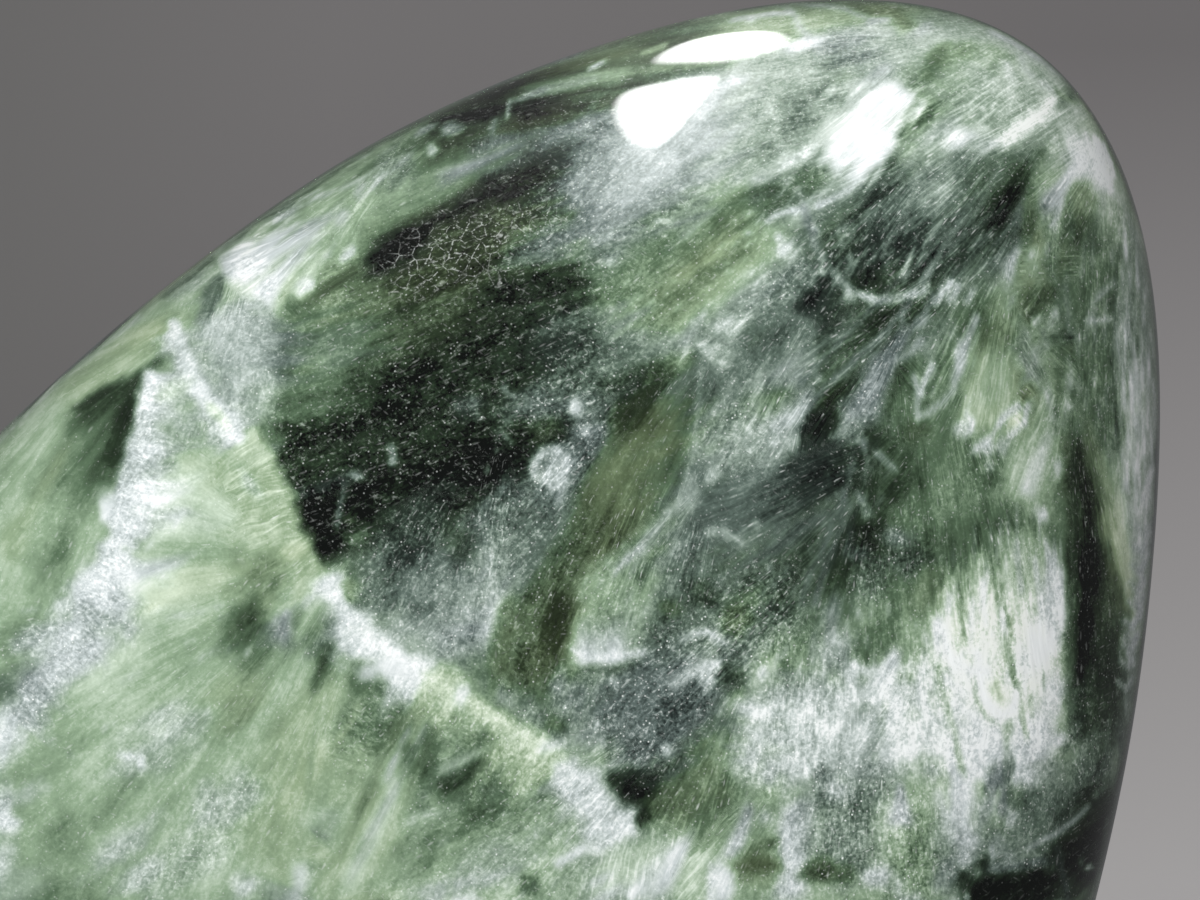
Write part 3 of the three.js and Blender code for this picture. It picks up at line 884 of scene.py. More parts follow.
# The moss field over the olive column: warm green fibres that lean up to the right.
lay_stretch(washes=(
    (700, 262, 50, 12, 32, .6, 1, .8, .15), (730, 282, 44, 9, 35, .54, .5, .7, .15),
    (620, 355, 34, 18, 30, .46, -.5, .8, .7), (665, 350, 30, 12, 20, .56, -1, .7, .9),
    (690, 330, 8, 24, 55, .6, -1, .6, .7), (713, 352, 18, 11, 0, .7, -1, .8, .7),
    (722, 326, 15, 8, 20, .76, -1, .7, .9), (760, 300, 34, 16, 35, .48, -1, .6, .9),
    (790, 285, 26, 18, 40, .42, -1, .6, .9),
), hairs=(
    (760, 225, 620, 340, 90, 130, 34, 3.2, 16, .3, -1),
), seams=(
    ((686, 352, 682, 360, 678, 367), 4.4, .98, -1, .9),
    ((700, 344, 704, 354, 712, 360, 722, 364), 4, .86, -1),
    ((746, 318, 736, 330, 727, 336), 4.4, .92, -1, .85),
))

# The haze below the black heart: a thin grey veil of fibre ends.
lay_stretch(fans=(
    (505, 590, 478, 650, 8, 18, (.66, .92, .84, .6), -1, .7, .15, .8),
), washes=(
    (530, 498, 36, 18, 40, .5, -1, .7, .95), (525, 515, 16, 14, 0, .38, 0, .6, .5),
    (458, 540, 18, 24, 60, .26, 0, .8, .3), (470, 560, 14, 20, 60, .3, 0, .6, .4),
    (428, 606, 22, 5, 25, .28, -.5),
))

# Below the crest's middle: green fans that hang from it, with pale tips and dark gaps.
lay_stretch(fans=(
    (414, 720, 388, 778, 7, 11, (.62, .78, .74), -1, .1, .06, .8),
    (492, 742, 440, 770, 8, 13, (.62, .76, .76, .66), -.5, .2, .06, .8),
    (494, 752, 438, 796, 12, 44, (.34, .28, .26, .38), 0, .15, .08, .8, (.19, .19)),
    (588, 840, 556, 858, 6, 9, (.98, 1.1, 1.04, .96), -1, 0, .1, .8, (.12, .12)),
), washes=(
    (352, 770, 24, 40, 60, .62, .5, .6), (432, 748, 8, 26, 82, .28, 0), (410, 760, 10, 24, 80, .36, 0, .7),
    (478, 808, 34, 9, 12, .34, 0, .7), (452, 822, 34, 14, 22, .4, 0, .7, .2),
    (420, 850, 40, 16, 30, .46, 0, .6, .1), (500, 850, 40, 22, 25, .5, -.5, .7, .6),
    (532, 878, 11, 13, 70, .28, 0, .8, .6), (440, 880, 40, 8, 16, .66, -1, .6),
    (468, 893, 17, 7, 10, 1, -1, .9, .2), (436, 894, 14, 4, 15, .86, -1), (480, 876, 34, 6, 18, .7, -1, .6),
    (598, 842, 14, 6, 20, 1.08, -1, .95), (620, 860, 40, 22, 30, .72, 0, .7, .2),
    (634, 884, 14, 6, 40, 1, -1, .9, .1), (606, 888, 18, 6, 25, .8, -1, .7, .5),
    (600, 872, 14, 5, 25, .82, -1, .7, .5), (655, 870, 14, 24, 60, .78, -1, .6),
), hairs=(
    (640, 770, 440, 880, 40, 180, 60, 4, 34, .16, -1), (640, 770, 440, 880, 40, 180, 40, 4, 36, -.12, 0),
    (470, 700, 360, 900, 60, 190, 46, 4.5, 60, .09, 0), (470, 700, 360, 900, 60, 190, 36, 4.5, 60, -.08, 0),
))

# The olive column: one bundle of warm, brownish green fibres that runs down to the left.
lay_stretch(washes=(
    (556, 620, 13, 40, 75, .14, 1, .8, .2), (532, 660, 24, 26, 60, .24, 1, .6, .6),
    (505, 640, 14, 44, 80, .38, 1, .7, .3), (545, 560, 14, 24, 65, .28, .5, .5, .4),
    (655, 385, 24, 24, 70, .2, 0, .85, .7), (628, 412, 30, 20, 20, .18, 0, .85, .3),
    (690, 388, 20, 22, 60, .26, 0, .7, .4), (690, 492, 9, 20, 66, .64, -1, .8, .2),
    (710, 475, 9, 7, 45, 1.06, -1, .95),
), seams=(
    ((699, 370, 696, 410, 692, 450, 683, 490, 676, 512), 4, .58, -.5, .7),
))

# The grey wedge right of the olive column: silky threads under a bright lip.
lay_stretch(fans=(
    (805, 395, 752, 462, 18, 50, (.56, .62, .72, .76), -1, .6, .14, .8, (.25, .12)),
), washes=(
    (740, 440, 34, 34, 40, .54, -.5, .8, .8), (780, 358, 40, 22, 50, .5, -1, .8, .3),
    (790, 372, 26, 18, 45, .6, -1, .7, .2), (755, 388, 5, 24, 80, .78, -1, .8, .3),
    (776, 402, 22, 10, 10, .48, .5, .8, .2), (791, 418, 7, 11, 60, .98, -1, .9, .2),
    (790, 441, 6, 8, 70, .92, -1, .8, .3), (760, 340, 26, 16, 40, .36, 0, .7, .3),
    (785, 335, 20, 14, 40, .32, -1, .7, .5),
), hairs=(
    (800, 390, 750, 460, 30, 70, 24, 3.2, 22, .2, -1),
), seams=(
    ((785, 408, 778, 416, 770, 426), 3, .9, -1),
))

# The pale streaks beside the olive column: thin fibres that lie close to the polish.
lay_stretch(hairs=(
    (690, 500, 600, 610, 20, 84, 34, 3.2, 30, .22, -1),
), seams=(
    ((668, 512, 655, 530, 640, 544, 625, 560), 5, .66, -1, .75),
    ((640, 546, 632, 553, 625, 559), 3.4, .92, -1, .85), ((619, 563, 613, 572), 4, .92, -1, .85),
    ((700, 512, 680, 530, 660, 552, 640, 576), 3.4, .26, 0, .5),
))

# The petal with the white edge: a pale green fan that ends in a crisp bright line.
lay_stretch(fans=(
    (600, 620, 604, 661, 54, 64, (.62, .78, .98, 1.02), -1, .3, .1, .6, (.31, .06)),
), washes=(
    (584, 640, 12, 16, 70, .9, -1, .85, .3), (670, 605, 16, 9, 20, .22, .5, .85, .2),
))

# The dark granular cell, and the glint: a painted highlight, where a few flat fibres flash like tinsel,
# laid in as near-white streaks.
lay_stretch(fans=(
    (708, 658, 668, 684, 6, 17, (1, 1.1, 1.12, .98), -1, 0, .12, .6, (.1, .12)),
), washes=(
    (735, 620, 16, 14, 20, .24, 1, .7, .9), (706, 648, 14, 9, 30, .52, .5, .7, .6),
    (650, 660, 34, 8, 12, .2, 0, .8, .7), (692, 667, 15, 7, 33, 1.12, -1, .95),
    (728, 672, 16, 14, 50, .14, 0, .85, .4), (612, 720, 16, 34, 80, .3, 0, .7, .8),
    (650, 730, 34, 22, 50, .24, -1, .8, .95), (590, 700, 14, 50, 82, .46, -.5, .8, .6),
    (572, 690, 14, 26, 75, .5, -1, .7, .8), (560, 680, 10, 16, 70, .56, -1, .6, .9),
    (556, 720, 10, 12, 60, .26, .5, .8, .5), (598, 720, 3.4, 5, 80, 1, -1, .9),
    (655, 768, 30, 8, 20, .22, 0, .6, .7),
), seams=(
    ((679, 637, 688, 632, 698, 631), 3.6, .92, -1, .85), ((696, 630, 704, 629, 713, 630), 3.6, 1, -1, .9),
    ((710, 634, 718, 638, 725, 640), 3, .7, -1, .75), ((717, 660, 708, 668, 699, 677), 4.4, 1.08, -1, .95),
    ((712, 676, 706, 681, 702, 686), 3.8, .92, -1, .85), ((612, 676, 617, 683), 3.4, .86, -1, .85),
    ((602, 734, 604, 740), 3, .76, -1), ((664, 742, 668, 748), 6, .98, -1, .9),
    ((651, 757, 656, 752), 4, .76, 1, .85),
))

# The black spot at the crest's lower end, and the olive fan below it.
lay_stretch(fans=(
    (690, 828, 655, 890, 10, 26, (.66, .86, .8, .74), -1, .2, .12, .8),
    (748, 800, 730, 850, 14, 20, (.56, .76, .82, .8), -1, .6, .12, .8, (.19, .07)),
    (735, 845, 716, 900, 14, 24, (.62, .84, .94, .86), -1, .2, .1, .8),
), washes=(
    (710, 735, 14, 30, 65, .4, 1, .7, .2), (626, 785, 22, 20, 0, 0, 0, .98, .1),
    (634, 800, 14, 18, -70, .04, 0, .85, .2), (648, 780, 12, 14, 0, .08, 0, .7, .5),
    (705, 820, 14, 30, 65, .42, 0, .7, .2), (674, 846, 6, 16, 66, 1, -1, .9, .1),
    (718, 868, 8, 18, 80, .98, -1, .9, .3), (755, 856, 26, 17, 0, .3, 1, .95, .2),
    (750, 846, 14, 6, 20, .3, .5, .7), (770, 838, 10, 8, 40, .28, .5), (758, 876, 24, 7, 0, .46, .5, .7),
), seams=(
    ((710, 860, 709, 880, 708, 898), 4, .92, -1),
))

# The left lobes: white scales, each the end of a small fan that faces down to the left.
lay_stretch(fans=(
    (778, 652, 748, 686, 6, 18, (.66, .92, .98, .8), -1, .2, .14, .8),
    (892, 650, 868, 700, 14, 34, (.44, .8, .96, .9), -1, .6, .15, .6, (.19, .15)),
    (900, 690, 850, 770, 34, 60, (.7, .78, .82, .76), -1, .8, .12, .8, (.25, .12)),
), washes=(
    (765, 668, 20, 14, 50, .6, .5, .7, .3), (760, 668, 9, 6, 50, 1.02, -1, .9),
    (800, 660, 20, 22, 70, .5, 0, .7, .3), (760, 712, 17, 10, 5, .98, -1, .9, .7),
    (748, 704, 10, 8, 0, .86, -1, .8, .8), (735, 702, 6, 6, 30, .8, -1, .7, .8),
    (796, 716, 14, 15, 60, 1, -1, .9, .8), (824, 725, 13, 11, 0, 1.02, -1, .9, .8),
    (755, 735, 11, 9, 0, .92, -1, .85, .8), (752, 752, 10, 14, 80, .82, -1, .8, .8),
    (768, 768, 10, 13, 80, .8, -1, .8, .8), (785, 757, 17, 9, 20, .92, -1, .85, .8),
    (800, 764, 13, 11, 0, .9, -1, .85, .9), (775, 728, 12, 10, 0, .64, 0, .7, .8),
    (840, 700, 22, 11, 10, .96, -1, .9, .7), (848, 672, 9, 14, 75, .88, -1, .85, .7),
    (830, 650, 20, 26, 80, .56, -1, .7, .6), (812, 690, 24, 12, 10, .68, -1, .7, .8),
    (855, 735, 14, 20, 60, .9, -1, .85, .8), (870, 745, 10, 26, 70, .56, .5, .7, .4),
    (886, 752, 14, 12, 40, .8, -1, .8, .8), (904, 745, 11, 9, 20, .98, -1, .9, .7),
    (912, 728, 8, 14, 80, .84, -1, .8, .8), (905, 690, 8, 22, -80, .36, 0, .5),
    (820, 772, 12, 8, 0, .36, -.5, .8, .9), (790, 788, 18, 10, 50, .54, 0, .75, .3),
    (835, 783, 17, 13, 10, .66, -1, .8, 1), (840, 772, 10, 6, 0, .74, .5, .7, 1),
    (875, 778, 24, 16, 10, .46, -.5, .8, .9),
), seams=(
    ((882, 700, 876, 725, 868, 750), 5, .52, .5, .6),
))

# The curtain under the left lobes: grey green fibres that fade into grainy stone.
lay_stretch(fans=(
    (905, 800, 915, 900, 70, 100, (.52, .5, .54, .6), 0, .8, .08, .8),
    (896, 782, 896, 822, 10, 34, (.5, .62, .7, .64), -1, .9, .08, .6, (.19, .07)),
), washes=(
    (788, 850, 12, 30, 85, .84, -1, .8, .7), (765, 812, 9, 10, 60, .74, -1, .7, .8),
    (815, 862, 18, 12, 10, .16, .5, .85, .4), (838, 868, 16, 8, 10, .22, .5, .7, .4),
    (875, 872, 13, 11, 20, .82, -1, .85, .9), (894, 880, 7, 14, 80, .74, -1, .7, .8),
    (905, 893, 14, 8, 10, .72, -1, .6, .8), (940, 870, 12, 20, 60, .66, -1, .7, .6),
))

# The right lobes: the brightest scales, where hanging fibres curl up to the polish.
lay_stretch(fans=(
    (984, 570, 976, 660, 8, 34, (.6, .92, .92, .86), -1, .3, .15, .8),
    (1046, 545, 1054, 640, 12, 28, (.56, .84, 1.06, 1.02), -1, .3, .1, .6, (.19, .12)),
    (985, 705, 975, 775, 50, 54, (.7, .86, .92, .98), -1, .75, .14, .6, (.19, .05)),
    (1030, 712, 1026, 786, 40, 56, (.66, .82, .84, .84), -1, .8, .12, .6, (.19, .06)),
    (1040, 780, 1020, 860, 60, 80, (.34, .38, .42, .46), -.5, .5, .08, .6, (.25, .05)),
), washes=(
    (925, 590, 24, 26, 80, .48, .5, .7, .2), (938, 635, 11, 20, 82, 1.04, -1, .93, .3),
    (925, 690, 12, 30, -80, .78, -1, .8, .5), (928, 715, 10, 16, 80, .8, -1, .8, .7),
    (1052, 582, 8, 20, -82, .92, -1, .85, .5), (1024, 695, 12, 10, 0, .78, -1, .8, .9),
    (1022, 776, 14, 9, 0, .86, -1, .85, .9), (1056, 738, 7, 9, 40, 1, -1, .9, .6),
    (970, 840, 18, 13, 20, .86, -1, .85, .8), (960, 858, 14, 9, 10, .84, -1, .85, .9),
    (938, 775, 8, 30, -80, .62, .5, .6, .3), (935, 745, 12, 12, 0, .74, -1, .7, .8),
    (930, 765, 8, 14, 0, .66, -1, .6, .8), (982, 805, 12, 22, 70, .6, -1, .75, .7),
    (994, 772, 14, 16, 60, .3, -1, .9, .5), (985, 765, 12, 7, 40, .28, -.5, .7, .5),
    (1000, 795, 8, 16, 85, .34, -1, .8, .4), (1004, 760, 5, 20, 85, .34, -.5, .7),
    (984, 835, 10, 24, -80, .52, -.5, .7, .6), (996, 845, 7, 20, -70, .6, -1, .6, .4),
    (1008, 815, 6, 12, 80, .72, -1, .8, .7), (1006, 858, 10, 9, 30, .7, -1, .8, .8),
    (1010, 790, 8, 16, 85, .32, 0, .6), (1085, 755, 26, 34, 60, .34, -.5, .85, .8),
    (1095, 790, 14, 8, 40, .44, -.5, .6, .7), (1066, 790, 14, 20, 70, .34, -.5, .7, .5),
))

# The black corner, lower right: clear stone, nearly black, behind a thin pale crack.
lay_stretch(fans=(
    (975, 866, 944, 905, 12, 24, (.6, .62, .58, .56), -.5, .3, .06, .8, (.12, .12)),
), washes=(
    (1010, 888, 50, 22, 0, 0, 0, .95, .1), (1080, 850, 34, 34, 50, .02, 0, .95, .2),
    (1075, 825, 24, 12, 35, .05, .5, .8, .2), (975, 888, 18, 16, 50, .02, 0, .9, .1),
    (1060, 822, 22, 12, 30, .3, -.5, .8, .4), (1025, 862, 30, 6, 12, .36, -1, .7, .8),
    (990, 862, 14, 7, 0, .4, -1, .7, .7), (1086, 865, 6, 2.6, 15, .92, -1, .9),
    (1078, 860, 3, 2.6, 15, .6, -1), (963, 892, 3, 3, 0, .85, -1, .85),
), seams=(
    ((986, 842, 990, 856, 993, 864), 4.4, .66, -1),
    ((1024, 843, 1036, 837, 1050, 831, 1062, 823, 1074, 814, 1084, 805), 3.4, .62, -1),
    ((1053, 845, 1058, 868, 1062, 885, 1065, 900), 3, .26, -1),
    ((1106, 820, 1100, 860, 1092, 904), 5, .34, -.5),
))

# The right band and the rim: dark green fibres along the edge, their darkness partly painted shade where
# the edge rounds away, then pale ones in nested folds.
lay_stretch(washes=(
    (1078, 500, 20, 60, 90, .1, .5, .85, .4), (1090, 640, 26, 50, -85, .03, 0, .9, .4),
    (1072, 700, 14, 30, 85, .16, -.5, .8, .8), (1112, 480, 10, 40, -80, .38, 0, .7, .2),
    (1110, 600, 9, 26, 88, .26, .5, .7, .4), (1122, 625, 10, 16, 88, .36, -.5, .7, .4),
    (1146, 502, 6, 14, 68, .9, -1, .9, .5), (1120, 740, 6, 26, -78, .38, -.5, .8, .3),
), hairs=(
    (1095, 300, 1095, 730, 60, 60, 40, 3.2, 26, .16, -1),
    (1125, 330, 1135, 600, 40, 40, 34, 3.2, 16, .2, -1),
), seams=(
    ((1124, 632, 1131, 640, 1138, 628), 3.6, .7, -1, .75),
    ((1120, 646, 1128, 654, 1136, 644), 3.4, .6, -1, .7),
))

# The black heart: the deepest clear stone, with dust of fibre ends caught in it.
lay_stretch(washes=(
    (494, 470, 30, 16, 35, .02, 0, .9, .3), (474, 500, 26, 14, 30, .06, 0, .7, .5),
    (330, 484, 46, 7, 20, .2, -1, .7, 1), (432, 502, 54, 16, 35, .18, -.5, .8, 1),
    (405, 540, 30, 34, 60, .22, -.5, .7, 1), (548, 318, 40, 16, 20, .08, 0, .7, .6),
    (560, 326, 22, 8, 20, .34, -1, .7, 1), (565, 345, 26, 16, 20, .2, -1, .7, 1),
    (470, 408, 22, 16, 0, .22, -1, .7, .9), (540, 405, 44, 22, 35, .4, -1, .75, .9),
    (575, 380, 34, 26, 35, .36, -.5, .7, .9), (515, 415, 20, 16, 50, .36, -.5, .6, .8),
    (590, 420, 30, 30, 40, .4, -1, .6, .9), (540, 432, 26, 13, 5, .17, .5, .85, .5),
    (520, 445, 16, 18, 50, .06, 0, .8, .2), (574, 408, 8, 12, 80, .92, -1, .9, .7),
    (587, 432, 11, 6, 20, .76, -1, .75, 1), (556, 466, 25, 20, 50, .6, -1, .85, 1),
    (360, 476, 7, 4, -15, .8, -1, .9), (341, 524, 4, 3, 0, .66, -1, .9), (353, 519, 6, 4, 10, .48, .5),
    (362, 537, 15, 7, 20, .44, 0, .9), (489, 469, 3, 3, 0, .9, -1, .9),
), hairs=(
    (470, 370, 520, 440, 70, 60, 26, 2.6, 18, .3, -1), (560, 320, 480, 420, 60, 130, 30, 2.6, 14, .22, -1),
), seams=(
    ((536, 478, 534, 464, 541, 454, 554, 450, 564, 455, 570, 462), 6, .9, -1, .85),
    ((545, 478, 551, 466, 560, 460, 566, 466), 5, .98, -1, .85),
    ((552, 484, 558, 474, 566, 470), 6, .96, -1, .9), ((566, 478, 563, 490, 558, 504), 6, .8, -1),
    ((394, 447, 397, 456, 395, 463), 5, .66, -1, .95),
    ((350, 484, 346, 496, 342, 512, 341, 518), 2.8, .5, -1, .85), ((504, 389, 516, 398), 3.4, .66, -1, .85),
))

# The crest: where two fields of fibres meet, their ends stand up as one frayed white line.
lay_stretch(crests=(
    ((178, 328, 195, 362, 215, 400, 243, 438), 14, 30, (1.02, .86, .68, .58), -1, .75),
    ((256, 436, 276, 466, 288, 498, 302, 536, 332, 578), 12, 84, (.8, .76, .7, .64, .6), .5, .15),
    ((332, 580, 350, 606, 368, 632, 396, 650, 432, 670), 14, 40, (1.06, 1.06, .9, .64), -1, .7),
    ((432, 670, 470, 695, 520, 728, 562, 760), 16, 50, (.86, .82, .72, .6), .5, .6),
    ((562, 760, 590, 785, 628, 824), 18, 44, (1, .96, .82, .66), -1, .7),
), washes=(
    (243, 438, 7, 7, 0, 1.06, -1, .95), (204, 392, 8, 14, -60, 1.04, -1, .8, .3),
    (222, 416, 8, 14, -50, .92, 1, .6, .2), (256, 486, 7, 14, -55, .9, -1, .5),
    (300, 548, 16, 8, 25, .96, 1, .8, .1), (330, 578, 20, 9, 20, .98, -1),
    (398, 662, 20, 12, -10, 1.04, -1, .9, .1), (372, 668, 12, 8, 10, .96, -1, .8, .2),
    (464, 690, 8, 14, 70, .96, -1, .8, .2), (552, 741, 14, 6, 20, .98, -1, .8, .3),
))

# Smaller plumes over all these: single tufts, gaps and flashes on the right.
lay_stretch(fans=(
    (1076, 164, 1040, 214, 12, 22, (1, .92, .8, .56), -1, .4, .1, .6),
), washes=(
    (1085, 300, 26, 70, 88, .46, 0, .8, .3), (1085, 390, 26, 60, 88, .42, 0, .8, .3),
    (1100, 250, 20, 60, 80, .46, 0, .7, .3), (1122, 330, 14, 70, 88, .56, -.5, .6, .4),
    (1145, 330, 12, 90, 89, .56, -.5, .6, .4), (1148, 430, 11, 60, 89, .64, -.5, .6, .4),
    (1146, 520, 11, 60, 89, .62, -.5, .6, .4), (1116, 535, 13, 60, -78, .74, 1, .8, .15),
    (1128, 590, 8, 40, -80, .66, 1, .7, .1), (1100, 480, 9, 40, -76, .5, .5, .7, .1),
    (1080, 610, 18, 80, 86, .14, 0, .8, .3), (1100, 690, 22, 60, 84, .14, 0, .8, .4),
    (1070, 520, 9, 50, 88, .24, 0, .7, .2), (1098, 600, 12, 40, -80, .26, .5, .6, .2),
    (930, 190, 60, 26, 45, .4, -.5, .7, .4), (880, 210, 40, 24, 45, .34, -.5, .7, .5),
    (960, 225, 40, 16, 50, .36, -.5, .6, .4), (660, 672, 50, 26, 20, .42, -.5, .7, .7),
    (640, 720, 34, 26, 40, .44, -.5, .6, .8), (690, 720, 30, 22, 40, .36, -.5, .6, .8),
    (612, 620, 34, 26, 40, .6, -.5, .7, .6), (606, 600, 26, 30, 60, .56, 0, .7, .5),
    (1072, 150, 24, 12, -60, .88, -1, .7, .8), (954, 142, 13, 6, 10, 1.2, -1, .9, .6),
    # The washes at (704, 110), (640, 152), (803, 46) and (732, 84) in this row and the next two are painted
    # highlight: the glow round the two mirrored white patches near the top edge, and the tail of the upper
    # one.
    (1140, 580, 12, 70, 86, .52, -.5, .6, .4), (704, 110, 34, 8, 50, .98, -1, .8, .5),
    (640, 152, 30, 9, -20, .9, -1, .7, .6), (803, 46, 20, 6, 14, 1.2, -1, .9, .2),
    (732, 84, 16, 5, 16, .96, -1, .8, .3), (1047, 778, 22, 18, 0, .46, -.5, .8, .5),
    (1020, 925, 70, 30, 10, .16, 0, .8, .3),
), hairs=(
    (900, 150, 820, 280, 120, 200, 60, 3, 34, .26, -1), (1095, 230, 1085, 430, 70, 90, 40, 3, 34, .18, -1),
    (1148, 240, 1142, 640, 20, 24, 60, 3, 16, .3, -1), (1000, 560, 1000, 720, 110, 120, 50, 3, 30, -.2, 0),
    (906, 92, 846, 176, 50, 70, 24, 4, 46, .4, -1), (912, 100, 850, 192, 50, 60, 30, 4, 34, -.34, 0),
    (840, 90, 800, 150, 40, 60, 14, 4, 30, -.2, 0), (1000, 520, 1000, 640, 110, 120, 40, 4, 40, .22, -1),
    (940, 600, 950, 760, 90, 120, 60, 4.2, 16, .3, -1),
    (1000, 620, 1010, 760, 90, 100, 50, 4.2, 14, .3, -1),
    (860, 600, 850, 740, 90, 120, 40, 4.2, 18, .26, -1),
    (760, 640, 760, 760, 100, 120, 40, 4.2, 16, .26, -1),
), seams=(
    ((572, 646, 586, 654, 604, 655, 624, 652, 644, 648), 4.5, 1.04, -1, .9),
    ((1093, 140, 1101, 164, 1109, 192), 5.5, 1.16, -1, .9),
    ((1084, 136, 1092, 158, 1099, 184), 4.5, .98, -1),
    ((993, 144, 1012, 132, 1030, 119, 1049, 103), 5, 1.24, -1, .9),
    ((1000, 151, 1020, 138, 1040, 123, 1053, 114), 4.2, 1.02, -1, .7),
    ((1150, 528, 1141, 544, 1147, 554), 4.2, .8, -1, .7),
    ((1147, 556, 1137, 572, 1144, 582), 4.2, .8, -1, .7),
    ((1143, 584, 1133, 600, 1140, 610), 4.2, .84, -1, .7),
    ((1138, 612, 1129, 628, 1136, 638), 4.2, .84, -1, .7),
    ((1133, 640, 1125, 654, 1132, 664), 4.2, .84, -1, .7),
    ((1146, 590, 1138, 606, 1141, 620), 4.2, .66, -1, .7),
    ((945, 520, 958, 570, 975, 620), 4.2, .34, 0, .7),
))

# The same on the left: tufts, gaps and flashes over the long fans.
lay_stretch(crests=(
    ((152, 376, 142, 425, 128, 480, 118, 545), 44, 5, (.92, .8, .68, .6), -1, .75),
    ((118, 545, 96, 600, 58, 664, 20, 716), 38, 12, (.74, .7, .62, .56), -1, .8),
), washes=(
    (176, 392, 22, 8, 20, .92, 0, .7, .6), (150, 452, 14, 8, 20, 1, -1, .8, .8),
    (168, 506, 34, 8, 14, .7, 0, .6, .4), (128, 536, 24, 9, 30, 1, -1, .8, .8),
    (40, 634, 26, 10, 30, .8, -1, .7, 1), (150, 395, 9, 22, 84, 1.1, -1, .8, .8),
    (160, 488, 40, 14, 16, 1.1, -1, .8, .7), (140, 515, 26, 10, 16, 1, -1, .7, .7),
    (118, 572, 30, 16, 40, 1.1, -1, .8, .8), (60, 640, 34, 12, 30, .92, -1, .7, .7),
    (12, 730, 22, 30, 70, .98, -1, .8, .6), (200, 470, 34, 22, 16, .66, .5, .6, .15),
    (190, 430, 26, 20, 30, .56, -.5, .5, .5), (255, 345, 40, 30, -40, .52, -.5, .8, .7),
    (240, 320, 30, 18, 30, .56, -1, .7, .8), (266, 400, 22, 26, 80, .5, -.5, .7, .6),
    (345, 345, 70, 34, 15, .36, -.5, .7, .2), (330, 395, 50, 24, 10, .34, 0, .7, .2),
    (420, 330, 60, 36, 20, .28, .5, .6, .3), (470, 380, 60, 34, 20, .2, 0, .6, .5),
    # The five washes from (864, 124) to (884, 102) brighten the satin patch's painted sheen.
    (864, 124, 32, 18, 52, 1.26, -1, .95, .1), (872, 150, 26, 14, 42, 1.24, -1, .95, .1),
    (856, 176, 16, 9, 42, 1.16, -1, .9, .1), (846, 148, 30, 14, 45, 1.22, -1, .9, .1),
    (884, 102, 20, 10, 60, 1.2, -1, .9, .1), (700, 225, 60, 22, 45, .5, .5, .6, .2),
    (655, 262, 50, 26, 40, .46, 0, .6, .4), (640, 430, 26, 70, 62, .42, 1, .8, .1),
    (612, 500, 30, 60, 62, .38, 1, .7, .15), (668, 410, 16, 60, 70, .48, 1, .6, .15),
    (745, 480, 60, 34, 30, .38, -.5, .6, .3), (105, 575, 34, 16, 20, .98, -1, .8, .7),
    (75, 600, 26, 12, 30, .92, -1, .7, .7), (60, 520, 40, 30, 50, .56, 0, .6, .3),
    (1000, 640, 90, 60, 80, 1.06, 0, .6, .75), (1034, 634, 24, 18, 80, 1, -1, .8, .8),
    (1046, 600, 10, 34, 86, .96, -1, .8, .8), (1020, 660, 16, 30, 40, .86, -1, .7, .9),
    (952, 618, 8, 30, 80, .8, .5, .7, .2), (984, 606, 7, 34, 86, .84, .5, .7, .2),
    (966, 640, 18, 11, 70, .7, .5, .8, .3), (992, 686, 14, 9, 80, .72, .5, .8, .2),
    (930, 690, 26, 14, 40, .74, -1, .7, .9), (955, 700, 14, 20, 80, .7, -1, .7, .9),
    (1020, 730, 26, 16, 60, .86, -1, .7, .9), (1046, 700, 12, 24, 70, .84, -1, .7, .9),
    (970, 740, 20, 14, 60, .8, -1, .7, .9), (1002, 724, 5, 20, 86, .4, 0, .7, .4),
    (1003, 640, 5, 34, 82, .5, .5, .8, .2), (958, 425, 9, 7, 20, .84, -1, .7, 1),
    (1034, 470, 30, 14, 80, .62, 0, .5, .4), (1037, 516, 6, 4, 60, 1, -1, .8, .7),
    (988, 484, 20, 9, -20, .26, 0, .7, .4), (1054, 467, 14, 5, 80, .9, -1, .7, .7),
), seams=(
    ((932, 622, 937, 640, 948, 656, 964, 668, 980, 668), 7, 1.1, -1, .9),
    ((972, 684, 984, 702, 998, 712, 1012, 704, 1017, 684), 7, 1.2, -1, .9),
    ((996, 560, 999, 600, 1003, 640, 1009, 676), 4.5, .4, 0, .9),
    ((1012, 676, 1018, 700, 1020, 730), 4.5, .52, 0, .7),
    ((944, 660, 956, 674, 972, 680, 986, 672), 5, 1, -1, .7),
    ((934, 668, 940, 700, 950, 736, 956, 764), 5, .5, 0),
    ((848, 660, 862, 668, 878, 664, 890, 650), 5, 1.1, -1, .7),
    ((752, 712, 764, 704, 780, 700), 5, 1.2, -1), ((818, 730, 830, 726, 838, 716), 5, 1.1, -1, .7),
    ((910, 377, 915, 393, 912, 420, 927, 412, 940, 403, 950, 388), 4.2, .78, -1, .7),
    ((973, 450, 987, 437, 997, 420, 1008, 412, 1023, 407), 4.2, .88, -1, .75),
    ((1083, 321, 1092, 322, 1108, 319), 4.2, .9, -1), ((1094, 300, 1104, 290, 1112, 282), 4.2, .74, -1, .7),
    ((1062, 400, 1066, 408), 4.2, .84, -1, .7), ((1154, 383, 1157, 400, 1155, 420), 4.5, 1, -1),
    ((1152, 470, 1146, 486, 1141, 500), 5, .98, -1), ((1128, 377, 1131, 400, 1130, 424), 4.2, .76, -1, .6),
))

